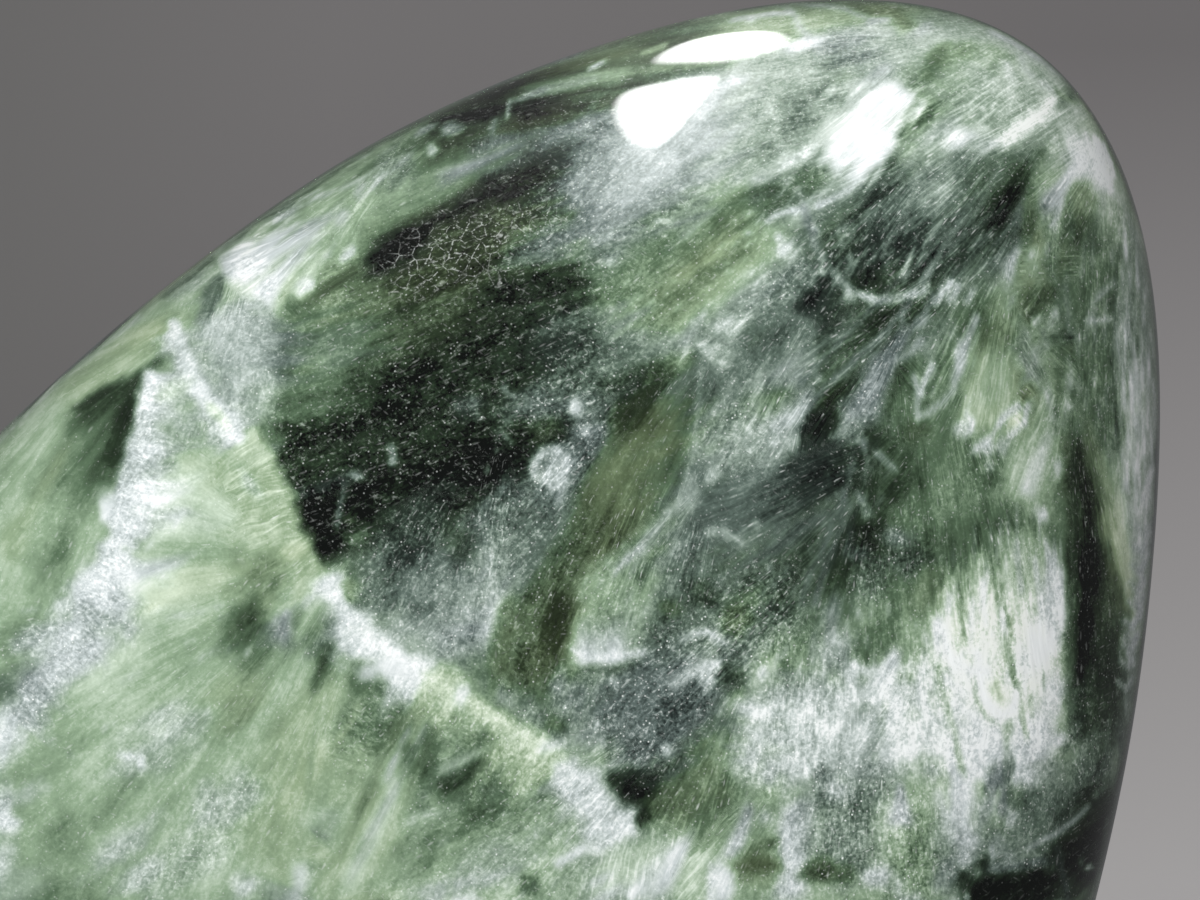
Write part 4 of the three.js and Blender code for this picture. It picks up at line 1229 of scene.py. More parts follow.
# Single hairs and healed cracks, the last fibres before the polish.
lay_stretch(brushes=(
    (270, 500, 34, 70, -58, .6), (590, 800, 60, 50, -30, .6), (620, 870, 70, 34, 10, .6),
    (270, 265, 60, 50, 20, .9), (340, 230, 60, 60, 50, .5), (860, 135, 70, 50, 40, .8),
    (940, 130, 90, 40, 30, .8), (1030, 125, 50, 26, 40, .8), (900, 210, 110, 60, 45, .6),
    (960, 260, 110, 60, 50, .7), (1060, 190, 26, 40, 60, .7), (1000, 330, 120, 90, 70, .5),
    (640, 545, 80, 40, 45, .7), (780, 420, 60, 50, 45, .7), (860, 370, 90, 60, 45, .6),
    (780, 530, 120, 80, 30, .35), (700, 668, 50, 24, 30, .8), (1000, 590, 80, 60, 80, .7),
    (860, 700, 110, 60, 10, .4), (680, 850, 90, 50, 50, .7), (1100, 500, 34, 120, 88, .4),
    (560, 470, 34, 34, 0, .6),
), nets=(
    (465, 245, 74, 44, 25, 1), (560, 215, 34, 24, 20, .5), (900, 310, 60, 20, 10, .2),
))

# Where the stone is silky or sandy: how far the fibre ends stand up at the polish.
lay_stretch(grains=(
    (640, 180, 110, 70, 30, .5), (720, 130, 70, 50, 30, .4), (800, 90, 50, 40, 30, .45),
    (225, 365, 50, 60, 60, .45), (430, 590, 50, 50, 0, .5), (720, 230, 60, 30, 40, .25),
    (700, 290, 60, 30, 40, .25), (420, 470, 110, 60, 20, .55), (520, 340, 80, 40, 20, .5),
    (660, 350, 50, 30, 30, .5), (1000, 650, 60, 50, 80, .95), (930, 700, 60, 50, 80, .95),
))

# Where the stone is a little warmer or cooler than its fans alone.
lay_stretch(hues=(
    (690, 218, 50, 22, 40, -.3), (650, 160, 110, 60, 20, -.9), (800, 110, 80, 50, 30, -.5),
    (900, 220, 110, 50, 40, -.6), (760, 350, 110, 50, 40, -.6), (740, 500, 110, 70, 30, -.7),
    (660, 700, 70, 60, 30, -.9), (830, 730, 110, 60, 0, -.8), (430, 590, 60, 50, 0, -.7),
    (250, 345, 44, 50, 0, -.8), (600, 350, 60, 50, 30, -.5), (520, 530, 40, 60, 60, -.6),
    (1010, 110, 80, 50, -30, -.4),
))

# Soft patches that lift or deepen the tone by a given amount. Along the right rim, which the key light
# reaches at a slant, the lifts are painted light.
lay_stretch(tone_shifts=(
    (690, 110, 80, 34, 30, .08), (770, 90, 60, 40, 30, .12), (800, 25, 90, 18, -5, .12),
    (900, 40, 70, 26, -20, .08), (930, 120, 90, 34, 30, .1), (1015, 120, 50, 40, -30, .14),
    (1090, 150, 40, 70, -60, .14), (1095, 210, 34, 50, -70, .1), (930, 190, 70, 40, 40, .1),
    (470, 110, 50, 30, 25, -.05), (500, 180, 70, 34, 25, -.08), (430, 260, 80, 40, 20, -.09),
    (470, 300, 80, 40, 20, -.08), (560, 250, 50, 40, 20, -.05), (700, 258, 60, 30, 40, -.1),
    (790, 330, 50, 40, 30, -.05), (340, 270, 40, 26, 30, .05), (250, 330, 40, 50, 60, .1),
    (490, 480, 60, 44, 20, -.12), (470, 420, 60, 40, 20, -.05), (120, 700, 90, 60, 30, .05),
    (405, 660, 40, 26, -20, .1), (260, 700, 60, 60, 50, -.05), (412, 780, 50, 40, 50, -.06),
    (560, 720, 40, 30, 20, .06), (330, 760, 70, 60, 60, .05), (340, 850, 80, 50, 30, .06),
    (490, 860, 50, 40, 30, .06), (650, 865, 80, 40, 30, .09), (720, 640, 60, 40, 20, .07),
    (950, 420, 60, 60, 80, .05), (950, 490, 70, 40, 80, .09), (1030, 420, 40, 60, 88, .07),
    (1145, 450, 20, 130, 88, .1), (1140, 600, 20, 80, 85, .08), (1010, 560, 50, 40, 80, .05),
    (930, 640, 50, 40, 80, .06), (940, 710, 70, 40, 20, .16), (1020, 700, 50, 30, 60, .12),
    (860, 620, 40, 24, 60, .08), (700, 170, 50, 30, 40, .12), (720, 250, 60, 20, 40, .06),
    (820, 250, 40, 24, 40, .07), (770, 25, 60, 18, 8, .12), (690, 60, 70, 20, 10, .05),
    (1000, 90, 50, 30, -30, .06), (580, 190, 60, 30, 30, -.09), (640, 400, 40, 40, 60, -.09),
    (260, 340, 40, 40, 60, .08), (270, 390, 30, 30, 60, .08), (180, 500, 40, 40, 30, .06),
    (180, 600, 50, 60, 60, .08), (110, 660, 50, 40, 50, .1), (40, 860, 90, 30, 20, .09),
    (630, 850, 40, 40, 30, .1), (620, 880, 60, 24, 10, .06), (480, 330, 40, 30, 20, -.05),
    (330, 490, 50, 30, 20, -.06), (400, 630, 40, 30, -20, .12), (490, 700, 50, 24, -40, .1),
    (1150, 440, 16, 110, 88, .06), (1110, 200, 30, 60, -70, .08), (1100, 400, 30, 60, 88, .05),
    (980, 790, 60, 30, 40, .08), (330, 690, 60, 40, 60, .05), (870, 590, 40, 30, 60, .06),
    (1080, 720, 50, 40, 60, .05), (930, 780, 70, 50, 60, .1), (850, 860, 60, 40, 70, .12),
    (930, 860, 40, 30, 60, -.06), (850, 700, 90, 40, 10, .08), (175, 425, 30, 24, 20, .06),
    (228, 420, 24, 30, 60, .1), (275, 425, 26, 30, 60, .06), (175, 525, 30, 26, 20, .1),
    (125, 578, 26, 24, 30, .07), (70, 575, 30, 34, 60, -.08), (20, 680, 30, 40, 60, -.06),
    (275, 575, 26, 26, 0, -.07), (325, 530, 30, 34, 60, -.06), (325, 375, 30, 34, 60, .07),
    (885, 590, 26, 34, 80, -.1), (990, 590, 40, 30, 80, .1), (1035, 740, 30, 24, 30, .1),
    (1085, 745, 30, 24, 30, .06), (1138, 660, 14, 90, 84, .06), (1085, 228, 24, 20, 0, -.12),
    (1030, 80, 34, 20, -30, .07), (985, 335, 26, 26, 60, -.12), (1035, 385, 24, 30, 80, .08),
    (1130, 290, 20, 44, 85, .08), (1128, 440, 16, 70, 85, .12), (1122, 530, 14, 44, -80, .1),
    (960, 535, 50, 20, 10, -.08), (420, 110, 50, 24, 25, -.05), (505, 100, 40, 20, 20, -.05),
    (450, 190, 50, 24, 20, -.05), (445, 335, 70, 30, 15, -.05), (787, 487, 40, 34, 30, -.06),
    (345, 560, 60, 24, -40, -.05), (850, 560, 40, 34, 60, -.09), (712, 640, 40, 30, 0, .05),
    (862, 640, 34, 30, 60, -.08), (490, 787, 50, 30, 20, -.06), (640, 787, 50, 30, 20, -.06),
    (712, 860, 40, 34, 60, .05), (1140, 560, 14, 110, 85, .08), (1000, 690, 40, 30, 20, .06),
    (960, 640, 30, 30, 60, .1), (900, 690, 34, 30, 60, .1), (985, 560, 44, 22, 0, -.06),
    (1075, 640, 14, 40, 85, -.06), (25, 520, 30, 50, 80, .1), (10, 590, 20, 40, 80, .12),
    (325, 635, 20, 24, 60, -.14), (225, 560, 30, 20, 20, -.08), (120, 475, 26, 24, 60, -.1),
    (275, 660, 26, 24, 60, -.07), (410, 730, 24, 30, 60, -.09), (550, 100, 40, 20, 20, -.06),
    (540, 200, 40, 24, 20, -.05), (460, 370, 60, 24, 15, -.05), (715, 120, 24, 50, 60, .06),
    (815, 25, 24, 14, 0, .1), (838, 235, 40, 20, 30, .06), (420, 140, 60, 22, 28, -.06),
    (500, 90, 70, 16, 20, -.06), (880, 195, 40, 18, 40, -.14), (262, 637, 40, 30, 30, -.07),
    (337, 637, 30, 34, 60, -.1), (262, 570, 50, 24, 20, -.08), (450, 560, 90, 30, -20, -.05),
    (925, 555, 50, 24, 0, -.08), (985, 545, 34, 20, 0, -.12), (1078, 640, 12, 60, 87, -.1),
    (1080, 590, 14, 40, 87, -.06), (110, 400, 30, 30, 60, -.07), (25, 480, 30, 24, 60, -.06),
    (25, 640, 30, 50, 60, -.07), (637, 412, 34, 30, 60, -.05), (950, 412, 34, 34, 60, -.05),
    (562, 487, 34, 30, 50, -.06), (787, 712, 40, 34, 30, -.06), (637, 637, 34, 30, 30, -.06),
    (960, 640, 40, 24, 80, .05), (780, 210, 30, 20, 30, -.1), (820, 225, 34, 20, 40, -.1),
    (1085, 140, 24, 30, -60, .07), (1120, 450, 20, 60, 84, .07), (1145, 560, 12, 60, 86, .06),
    (60, 690, 34, 34, 60, -.08), (70, 850, 30, 30, 60, -.06), (370, 830, 34, 40, 60, -.06),
    (1128, 480, 18, 90, 86, .06), (715, 110, 40, 40, 60, .05), (450, 150, 50, 20, 25, -.05),
    (975, 610, 60, 40, 60, .05), (1000, 690, 60, 30, 20, .05),
))

# The right rim folds over itself, in nine pale nested folds down its edge and four teeth near its top.
# They follow the rim, which leans in or out by a part of a pixel with each pixel down the frame.
FOLD_ROWS = (530, 549, 568, 586, 604, 623, 642, 662, 684)
TOOTH_ROWS = (203, 215, 228, 241)
FOLDS_START = (1144, 523)
TEETH_START = (1112, 203)
rim_folds = ()
for y in FOLD_ROWS:
    x = round(FOLDS_START[0] - (y - FOLDS_START[1]) / 8)
    rim_folds += (((x - 9, y - 4, x - 1, y + 4, x + 6, y - 6), FINEST_PX, .82, -1, .65),)
rim_teeth = ()
for y in TOOTH_ROWS:
    x = round(TEETH_START[0] + (y - TEETH_START[1]) / 4)
    rim_teeth += (((x - 7, y - 4, x + 5, y + 2), FINEST_PX, .84, 0, .6),)

# The finest lines of the right lobes: dark stems, bright threads and the rims of single scales.
lay_stretch(washes=(
    (1022, 562, 36, 22, -82, .6, 0, .6, .45), (966, 566, 36, 20, -86, .48, 0, .5, .3),
    (1068, 630, 80, 5, 89, .28, 0, .8, .2), (1018, 622, 26, 9, -78, .98, 0, .7, .6),
    (985, 640, 22, 8, -80, .98, 0, .6, .6), (936, 636, 18, 8, -84, 1.15, -1, .9, .7),
    (1034, 644, 24, 15, -80, 1.3, -1, .9, .5), (1048, 686, 22, 12, 84, .92, -1, .7, .9),
    (1034, 738, 26, 14, 20, .92, -1, .7, .9), (1026, 702, 18, 6, -80, .6, 0, .7, .6),
    (1001, 646, 24, 4.2, -75, .46, 0, .8, .2), (965, 658, 5, 4.2, 0, .68, 0, .7),
    (994, 692, 15, 8, -70, .84, .5, .8, .3), (930, 694, 18, 8, -70, .64, 0, .5, .8),
    (1046, 345, 40, 16, -80, .45, 0, .85, .25), (1030, 358, 30, 9, -72, .5, 0, .8, .25),
), hairs=(
    (1045, 250, 1050, 420, 40, 44, 30, 4, 40, -.14, 0), (1045, 250, 1050, 420, 40, 44, 22, 4, 36, .22, -1),
    (1126, 220, 1138, 480, 34, 34, 36, 4, 44, .22, -1), (1118, 220, 1128, 480, 34, 34, 30, 4, 44, -.16, 0),
    (980, 560, 990, 700, 110, 110, 40, 4, 26, -.22, 0),
), seams=(
    ((979, 520, 988, 565, 998, 627, 1004, 650, 1012, 686, 1017, 713, 1022, 735), 4.2, .46, 0, .75),
    ((955, 520, 955, 565, 958, 634), 4.2, .42, 0, .7),
    ((932, 668, 943, 699, 950, 727, 960, 772), 4.2, .62, 0, .55), ((979, 580, 980, 622), 4.2, 1.2, -1),
    ((997, 608, 999, 630), 4.2, 1.2, -1, .7), ((945, 594, 943, 608), 4.2, 1.1, -1, .7),
    ((968, 600, 966, 642), 4.2, 1.1, -1, .6), ((1040, 540, 1050, 580), 4.2, .95, -1, .6),
    ((1053, 586, 1057, 626), 5, 1.25, -1), ((1030, 560, 1036, 606), 4.2, .9, -1, .5),
    ((1012, 540, 1016, 590), 4.2, .86, -1, .5),
    ((955, 655, 962, 648, 972, 650, 975, 660, 968, 668, 958, 666, 955, 655), 4.2, 1.2, -1),
    ((975, 672, 978, 692, 986, 706, 998, 713, 1008, 706, 1012, 690), 4.6, 1.3, -1, .9),
    ((968, 676, 972, 698, 982, 714, 996, 722), 4.2, .56, 0, .7),
    ((940, 674, 952, 686, 966, 690), 4.2, 1.1, -1, .7), ((948, 700, 960, 706, 972, 718), 4.2, 1.1, -1, .7),
) + rim_folds + rim_teeth, brushes=(
    (1000, 330, 170, 110, -80, .55), (1090, 330, 170, 40, -86, .5),
), tone_shifts=(
    # Of these soft patches, the lift at (1130, 420) along the right rim is painted light.
    (1012, 640, 40, 36, -80, .12), (935, 650, 50, 50, 60, .07), (975, 715, 90, 36, 10, .09),
    (1085, 710, 30, 24, 60, .06), (580, 112, 70, 24, 20, -.07), (690, 112, 40, 24, 20, -.05),
    (787, 187, 40, 34, 60, .05), (740, 262, 60, 24, 40, .05), (935, 187, 34, 34, 60, .06),
    (1012, 215, 50, 34, -70, -.09), (637, 412, 34, 30, 60, -.07), (787, 412, 34, 30, 60, -.07),
    (1012, 487, 34, 26, 40, .08), (490, 562, 40, 34, 60, .09), (637, 562, 34, 34, 60, -.07),
    (787, 562, 34, 30, 60, -.06), (1087, 562, 34, 24, 80, -.05), (262, 562, 34, 30, 40, -.08),
    (187, 562, 30, 30, 40, -.05), (30, 562, 34, 34, 60, .07), (30, 412, 34, 30, 60, .06),
    (20, 487, 24, 24, 60, -.05), (30, 637, 34, 30, 60, -.06), (112, 712, 40, 30, 30, .06),
    (412, 712, 34, 34, 30, -.07), (487, 787, 34, 34, 30, -.06), (937, 862, 34, 30, 60, -.07),
    (787, 862, 34, 30, 60, .06), (562, 637, 34, 30, 60, .05), (350, 262, 50, 24, 40, .05),
    (130, 337, 60, 30, 30, .06), (337, 187, 34, 24, 20, .06), (750, 150, 50, 40, 60, .1),
    (690, 215, 50, 24, 60, .06), (975, 150, 40, 24, 40, -.08), (975, 235, 30, 34, 60, -.09),
    (975, 530, 30, 24, 60, -.1), (850, 600, 60, 34, 30, .08), (830, 825, 30, 30, 60, .06),
    (975, 825, 30, 24, 60, -.08), (450, 525, 40, 20, 40, .08), (590, 535, 40, 24, 40, -.07),
    (750, 380, 30, 40, 60, -.08), (20, 450, 30, 30, 60, -.08), (600, 5, 50, 18, 12, .07),
    (540, 100, 60, 18, 20, -.06), (1130, 420, 12, 120, 86, .05), (490, 750, 30, 24, 40, -.06),
    (375, 675, 24, 24, 40, -.07), (75, 670, 30, 24, 40, .06), (640, 112, 60, 24, 20, -.07),
    (1012, 640, 40, 36, -80, .08), (1030, 712, 50, 24, 10, .07), (262, 712, 34, 34, 40, -.05),
    (562, 787, 34, 34, 30, -.06), (562, 712, 34, 30, 30, -.05), (937, 820, 50, 34, 80, -.06),
    (745, 262, 60, 24, 40, .04), (787, 740, 50, 34, 60, .05), (1087, 562, 30, 24, 80, -.06),
    (712, 106, 36, 30, 60, -.12), (637, 106, 36, 30, 60, -.05), (1085, 112, 34, 30, 60, .08),
    (787, 262, 34, 30, 60, .04),
))

# Deeper fibres blur a fan's border in the clear stone, so each value is evened out with its neighbours.
ties = np.empty(len(skin_mesh.edges) * 2, int)
skin_mesh.edges.foreach_get("vertices", ties)
ties = ties.reshape(-1, 2)
ends_met = np.bincount(ties.ravel(), minlength=count)


def softened(values):
    """Each value, half of it kept and half of it taken from the mean of its neighbours' values."""
    total = np.bincount(ties[:, 0], values[ties[:, 1]], count)
    total += np.bincount(ties[:, 1], values[ties[:, 0]], count)
    return 0.5 * values + 0.5 * total / ends_met


def keep_on_skin(name, values):
    """Stores three values at each point of the skin, for the material to read."""
    made = skin_mesh.attributes.new(name, "FLOAT_VECTOR", "POINT")
    made.data.foreach_set("vector", np.stack(values, axis=1).astype(np.float32).ravel())


# The brightest tones are held back, so that the white plumes keep their fibres.
WHITE_TONE = 1.38
WHITE_LOSS = 0.16
PALE_TONE = 0.6
PALE_GAIN = 0.68
tone = np.minimum(tone, WHITE_TONE - WHITE_LOSS * grain)
tone = np.where(tone > PALE_TONE, PALE_TONE + (tone - PALE_TONE) * PALE_GAIN, tone)
tone, tint, grain, hairy, net = (softened(values) for values in (tone, tint, grain, hairy, net))
keep_on_skin("paint", (tone, tint, grain))
keep_on_skin("fibre", (across / PIXELS_PER_MM, along / PIXELS_PER_MM, np.floor(across / SEED_STEP)))
keep_on_skin("lie", tuple(heading.T))
keep_on_skin("feather", (hairy, net, np.zeros(count)))

# The polished chlorite: green to nearly black where the fibres dive, silver where they lie flat, that
# silver partly painted sheen, with threads and short bright flecks along them, under one clear,
# wet-looking polish.
def start_material(name):
    """A new material, empty as yet. The nodes that are made next go into it."""
    global tree
    made = bpy.data.materials.new(name)
    made.use_nodes = True
    tree = made.node_tree
    tree.nodes.clear()
    return made


def wire(socket, source):
    """Sets a socket to a value, or links it to another node's output."""
    if isinstance(source, bpy.types.NodeSocket):
        socket.id_data.links.new(source, socket)
    elif source is not None:
        socket.default_value = source


def add_node(kind, inputs=(), **settings):
    """A new node in the material that was started last, with its inputs set or linked."""
    made = tree.nodes.new(kind)
    for name, value in settings.items():
        setattr(made, name, value)
    for name, source in dict(inputs).items():
        wire(made.inputs[name], source)
    return made


def math_of(operation, first, second, third=None, clamp=False):
    made = add_node("ShaderNodeMath", {0: first, 1: second, 2: third}, operation=operation, use_clamp=clamp)
    return made.outputs[0]


def vector_of(operation, first, second=None):
    made = add_node("ShaderNodeVectorMath", {0: first, 1: second}, operation=operation)
    return made.outputs[0]


def sloped(value, low, high, to_low=0.0, to_high=1.0):
    """A value on a straight slope, from to_low at low to to_high at high, and level beyond them."""
    made = add_node("ShaderNodeMapRange", {0: value, 1: low, 2: high, 3: to_low, 4: to_high})
    return made.outputs[0]


def as_light(code):
    """A colour written as on a colour card, 0 to 255, as the shader's linear light."""
    shares = [channel / 255 for channel in code]
    return [s / 12.92 if s <= 0.04045 else ((s + 0.055) / 1.055) ** 2.4 for s in shares] + [1.0]


def colour_card(value, stops):
    """A value's colour on a card of stops, each a place from 0 to 1 and its colour."""
    made = add_node("ShaderNodeValToRGB", {0: value})
    ramp = made.color_ramp
    while len(ramp.elements) < len(stops):
        ramp.elements.new(0.5)
    for element, (place, code) in zip(ramp.elements, stops):
        element.position = place
        element.color = as_light(code)
    return made.outputs[0]


def read_skin(name):
    return add_node("ShaderNodeAttribute", attribute_name=name).outputs["Vector"]


polish = start_material("polished_seraphinite")
fibre_read, lie_read = read_skin("fibre"), read_skin("lie")
tone_read, tint_read, grain_read = add_node("ShaderNodeSeparateXYZ", {0: read_skin("paint")}).outputs
hairy_read, net_read, _ = add_node("ShaderNodeSeparateXYZ", {0: read_skin("feather")}).outputs
place_read = add_node("ShaderNodeTexCoord").outputs["Object"]


def noise(vector, scale, detail, rough=0.55, output=0, twist=0.0):
    """A smooth random pattern: its value, or its colour when output is 1."""
    made = add_node("ShaderNodeTexNoise", {
        "Vector": vector, "Scale": scale, "Detail": detail, "Roughness": rough, "Distortion": twist,
    })
    return made.outputs[output]


# The fibres wander a little, so their coordinate is nudged sideways by a slow noise.
WANDER_MM = 0.14
WANDER_STEPS_PER_M = 500.0
MM_PER_M = 1000
drift = noise(place_read, WANDER_STEPS_PER_M, detail=2.0, output=1)
drift = vector_of("SUBTRACT", drift, (0.5, 0.5, 0.5))
drift = vector_of("MULTIPLY", drift, (WANDER_MM * 2, WANDER_MM * 2, 0.0))
run = vector_of("ADD", fibre_read, drift)


def drawn_out(wide_mm, long_mm, along_run=run):
    """The fibres' own coordinate, in steps as wide and long as one thread of a pattern."""
    return vector_of("MULTIPLY", along_run, (1 / wide_mm, 1 / long_mm, 1.0))


silk = noise(drawn_out(0.10, 1.4), 1.0, detail=1.5, rough=0.6)
strand = noise(drawn_out(0.36, 2.6), 1.0, detail=2.0, rough=0.5)
hair = noise(drawn_out(0.12, 1.3), 1.0, detail=1.5, rough=0.6)
tufts = noise(drawn_out(0.15, 0.42), 1.0, detail=2.0, rough=0.6, twist=0.6)
felt = noise(place_read, MM_PER_M / 0.22, detail=2.5, rough=0.62, twist=1.3)
glint = noise(place_read, MM_PER_M / 0.12, detail=1.0, rough=0.5)
lumps = noise(place_read, MM_PER_M / 0.62, detail=2.0, rough=0.6)
cloud = noise(place_read, MM_PER_M / 1.9, detail=2.0, rough=0.6)


def between(share, low, high):
    return sloped(share, 0.0, 1.0, low, high)


# The tone follows the fibres in the silky stone. Where the fibres come up at the surface, their ends
# make a felt of small bright tufts.
full_tone = tone_read
for part, strength in (
    (silk, between(grain_read, 0.10, 0.08)),
    (strand, between(grain_read, 0.22, 0.12)),
    (lumps, between(grain_read, 0.08, 0.40)),
    (cloud, 0.14),
):
    full_tone = math_of("MULTIPLY_ADD", math_of("SUBTRACT", part, 0.5), strength, full_tone)
for part, strength in (
    (felt, between(grain_read, 0.04, 0.64)),
    (tufts, between(grain_read, 0.03, 0.64)),
    (glint, between(grain_read, 0.04, 0.52)),
):
    raised = sloped(part, 0.40, 0.76, -0.10, 0.26)
    full_tone = math_of("MULTIPLY_ADD", raised, strength, full_tone)
hair_lift = math_of("SUBTRACT", sloped(hair, 0.47, 0.70), 0.32)
full_tone = math_of("MULTIPLY_ADD", hair_lift, math_of("MULTIPLY", hairy_read, 0.26), full_tone)


def specks(cells, size, chance):
    """Small bright specks in some cells of a broken-up pattern: most faint, a few bright."""
    pattern = add_node("ShaderNodeTexVoronoi", {"Vector": cells, "Scale": 1.0})
    pick = add_node("ShaderNodeSeparateColor", {0: pattern.outputs["Color"]}).outputs[0]
    level = math_of("POWER", sloped(pick, 1 - chance, 1.0), 3.0)
    return math_of("MULTIPLY", sloped(pattern.outputs["Distance"], size, size * 0.35), level)


# Broken fibre ends: dots in the grainy stone, in rows along the fibres of the silky stone, dashes
# across and along them, and one net of healed cracks.
DOTS_PER_M = 7400.0
CROSSING = math.radians(62)
NET_CELL_MM = 0.46
NET_WANDER = 0.0012
rows = sloped(strand, 0.42, 0.66)
dots = specks(vector_of("MULTIPLY", place_read, (DOTS_PER_M,) * 3), 0.29, 1.0)
dashes = specks(drawn_out(0.10, 0.42), 0.40, 0.45)
turned = add_node("ShaderNodeVectorRotate", {"Vector": run, "Angle": CROSSING}, rotation_type="Z_AXIS")
crossings = specks(drawn_out(0.09, 0.30, turned.outputs[0]), 0.38, 0.45)
curls = sloped(math_of("ADD", felt, tufts), 1.14, 1.34)
net_place = vector_of("ADD", place_read, vector_of("MULTIPLY", drift, (NET_WANDER,) * 3))
net_cells = {"Vector": net_place, "Scale": MM_PER_M / NET_CELL_MM}
cracks = add_node("ShaderNodeTexVoronoi", net_cells, feature="DISTANCE_TO_EDGE")
net_line = math_of("MULTIPLY", sloped(cracks.outputs["Distance"], 0.06, 0.01), sloped(felt, 0.44, 0.60))
dot_share = math_of("MAXIMUM", between(grain_read, 0.1, 1.4), math_of("MULTIPLY", rows, 0.55))
dash_share = math_of("MULTIPLY_ADD", hairy_read, 0.65, between(grain_read, 0.2, 0.32))
fleck = math_of("MULTIPLY", dots, dot_share)
fleck = math_of("MULTIPLY_ADD", dashes, dash_share, fleck)
fleck = math_of("MULTIPLY_ADD", crossings, between(grain_read, 0.10, 0.46), fleck)
fleck = math_of("MULTIPLY_ADD", curls, between(grain_read, 0.0, 0.40), fleck)
fleck = math_of("MULTIPLY", fleck, sloped(full_tone, 0.0, 0.55, 0.42, 1.0))
fleck = math_of("MULTIPLY_ADD", net_line, math_of("MULTIPLY", net_read, 0.42), fleck, clamp=True)

silver_card = colour_card(full_tone, (
    (0.0, (6, 9, 10)), (0.2, (42, 52, 51)), (0.4, (94, 108, 106)),
    (0.6, (150, 162, 161)), (0.8, (202, 212, 213)), (1.0, (249, 254, 255)),
))
green_card = colour_card(full_tone, (
    (0.0, (4, 8, 5)), (0.2, (38, 54, 37)), (0.4, (85, 109, 84)),
    (0.6, (143, 168, 139)), (0.8, (205, 222, 203)), (1.0, (250, 255, 249)),
))
olive_card = colour_card(full_tone, (
    (0.0, (6, 9, 3)), (0.2, (42, 54, 33)), (0.4, (93, 111, 81)),
    (0.6, (148, 169, 133)), (0.8, (211, 225, 197)), (1.0, (250, 255, 243)),
))


def mixed(share, first, second):
    """Two colours mixed. The colours go into the node's sockets 6 and 7, and the mix leaves from 2."""
    made = add_node("ShaderNodeMix", data_type="RGBA")
    wire(made.inputs["Factor"], share)
    wire(made.inputs[6], first)
    wire(made.inputs[7], second)
    return made.outputs[2]


stone_colour = mixed(sloped(tint_read, 0.0, -1.0), green_card, silver_card)
stone_colour = mixed(sloped(tint_read, 0.0, 1.0), stone_colour, olive_card)
stone_colour = mixed(fleck, stone_colour, as_light((246, 252, 249)))

# The fibres catch the light one by one: each thread tips the surface a little along its own run.
tip_amount = math_of("MULTIPLY", math_of("SUBTRACT", silk, 0.5), 0.5)
tipped = add_node("ShaderNodeVectorMath", {0: lie_read, "Scale": tip_amount}, operation="SCALE").outputs[0]
true_normal = add_node("ShaderNodeNewGeometry").outputs["Normal"]
catching = vector_of("NORMALIZE", vector_of("ADD", true_normal, tipped))

skin_shader = add_node("ShaderNodeBsdfPrincipled", {
    "Base Color": stone_colour, "Roughness": sloped(silk, 0.3, 0.7, 0.6, 0.4), "Normal": catching,
    "IOR": 1.5, "Specular IOR Level": 0.12, "Coat Weight": 1.0, "Coat Roughness": 0.03, "Coat IOR": 1.5,
})
add_node("ShaderNodeOutputMaterial", {"Surface": skin_shader.outputs[0]})


def put_in_scene(name, data):
    made = bpy.data.objects.new(name, data)
    bpy.context.scene.collection.objects.link(made)
    return made


skin = put_in_scene("stone_skin", skin_mesh)
skin_mesh.materials.append(polish)
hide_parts("stone")
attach(skin, "root")

# The floor: one plain pale sheet, with painted light on it: a pool of light painted into its colour makes
# it lighter towards the frame's lower right. It lies a hair below the stone's flat, and its places of
# change are in metres from the solid's middle.
FLOOR_HALF = 1.5
FLOOR_LEVEL = -0.00005
LIGHTER_DOWN = (-0.0284, 0.0)
LIGHTER_RIGHT = (0.009, 0.0215)
LEFT_TO_RIGHT = (-0.0144, 0.0223)
floor_mesh = bpy.data.meshes.new("floor")
floor_corners = [(-1, -1), (1, -1), (1, 1), (-1, 1)]
floor_points = [(x * FLOOR_HALF, y * FLOOR_HALF, FLOOR_LEVEL) for x, y in floor_corners]
floor_mesh.from_pydata(floor_points, [], [(0, 1, 2, 3)])
floor = put_in_scene("floor", floor_mesh)
sheet = start_material("pale_sheet")
sheet_place = add_node("ShaderNodeTexCoord").outputs["Object"]


def towards(direction):
    """How far a place on the sheet lies in a direction from the solid's middle."""
    pair = {0: sheet_place, 1: tuple(direction)}
    return add_node("ShaderNodeVectorMath", pair, operation="DOT_PRODUCT").outputs["Value"]


lower = sloped(towards(-FRAME_UP), *LIGHTER_DOWN)
painted_light_share = math_of("MULTIPLY", lower, sloped(towards(FRAME_RIGHT), *LIGHTER_RIGHT))
far_side = colour_card(sloped(towards(FRAME_RIGHT), *LEFT_TO_RIGHT), (
    (0.0, (107, 106, 106)), (0.30, (115, 113, 114)), (0.62, (115, 113, 114)), (1.0, (110, 108, 109)),
))
sheet_colour = mixed(painted_light_share, far_side, as_light((165, 163, 164)))
sheet_shader = add_node("ShaderNodeBsdfPrincipled", {
    "Base Color": sheet_colour, "Roughness": 0.8, "Specular IOR Level": 0.0,
})
add_node("ShaderNodeOutputMaterial", {"Surface": sheet_shader.outputs[0]})
floor_mesh.materials.append(sheet)
floor.visible_glossy = False

# The light: a soft key from beyond the photograph's top edge, a fill from its lower left, an even dim
# room, and a wash for the floor alone. Two small bright cards beside the slim end, which only the
# polish mirrors, make the two white patches near its top edge.
room = bpy.data.worlds.new("room")
bpy.context.scene.world = room
room.use_nodes = True
ROOM_WHITE = (0.97, 0.985, 1.0, 1.0)
LAMP_WHITE = (1.0, 0.99, 0.98)
backdrop = room.node_tree.nodes["Background"]
backdrop.inputs["Color"].default_value = ROOM_WHITE
backdrop.inputs["Strength"].default_value = 0.12


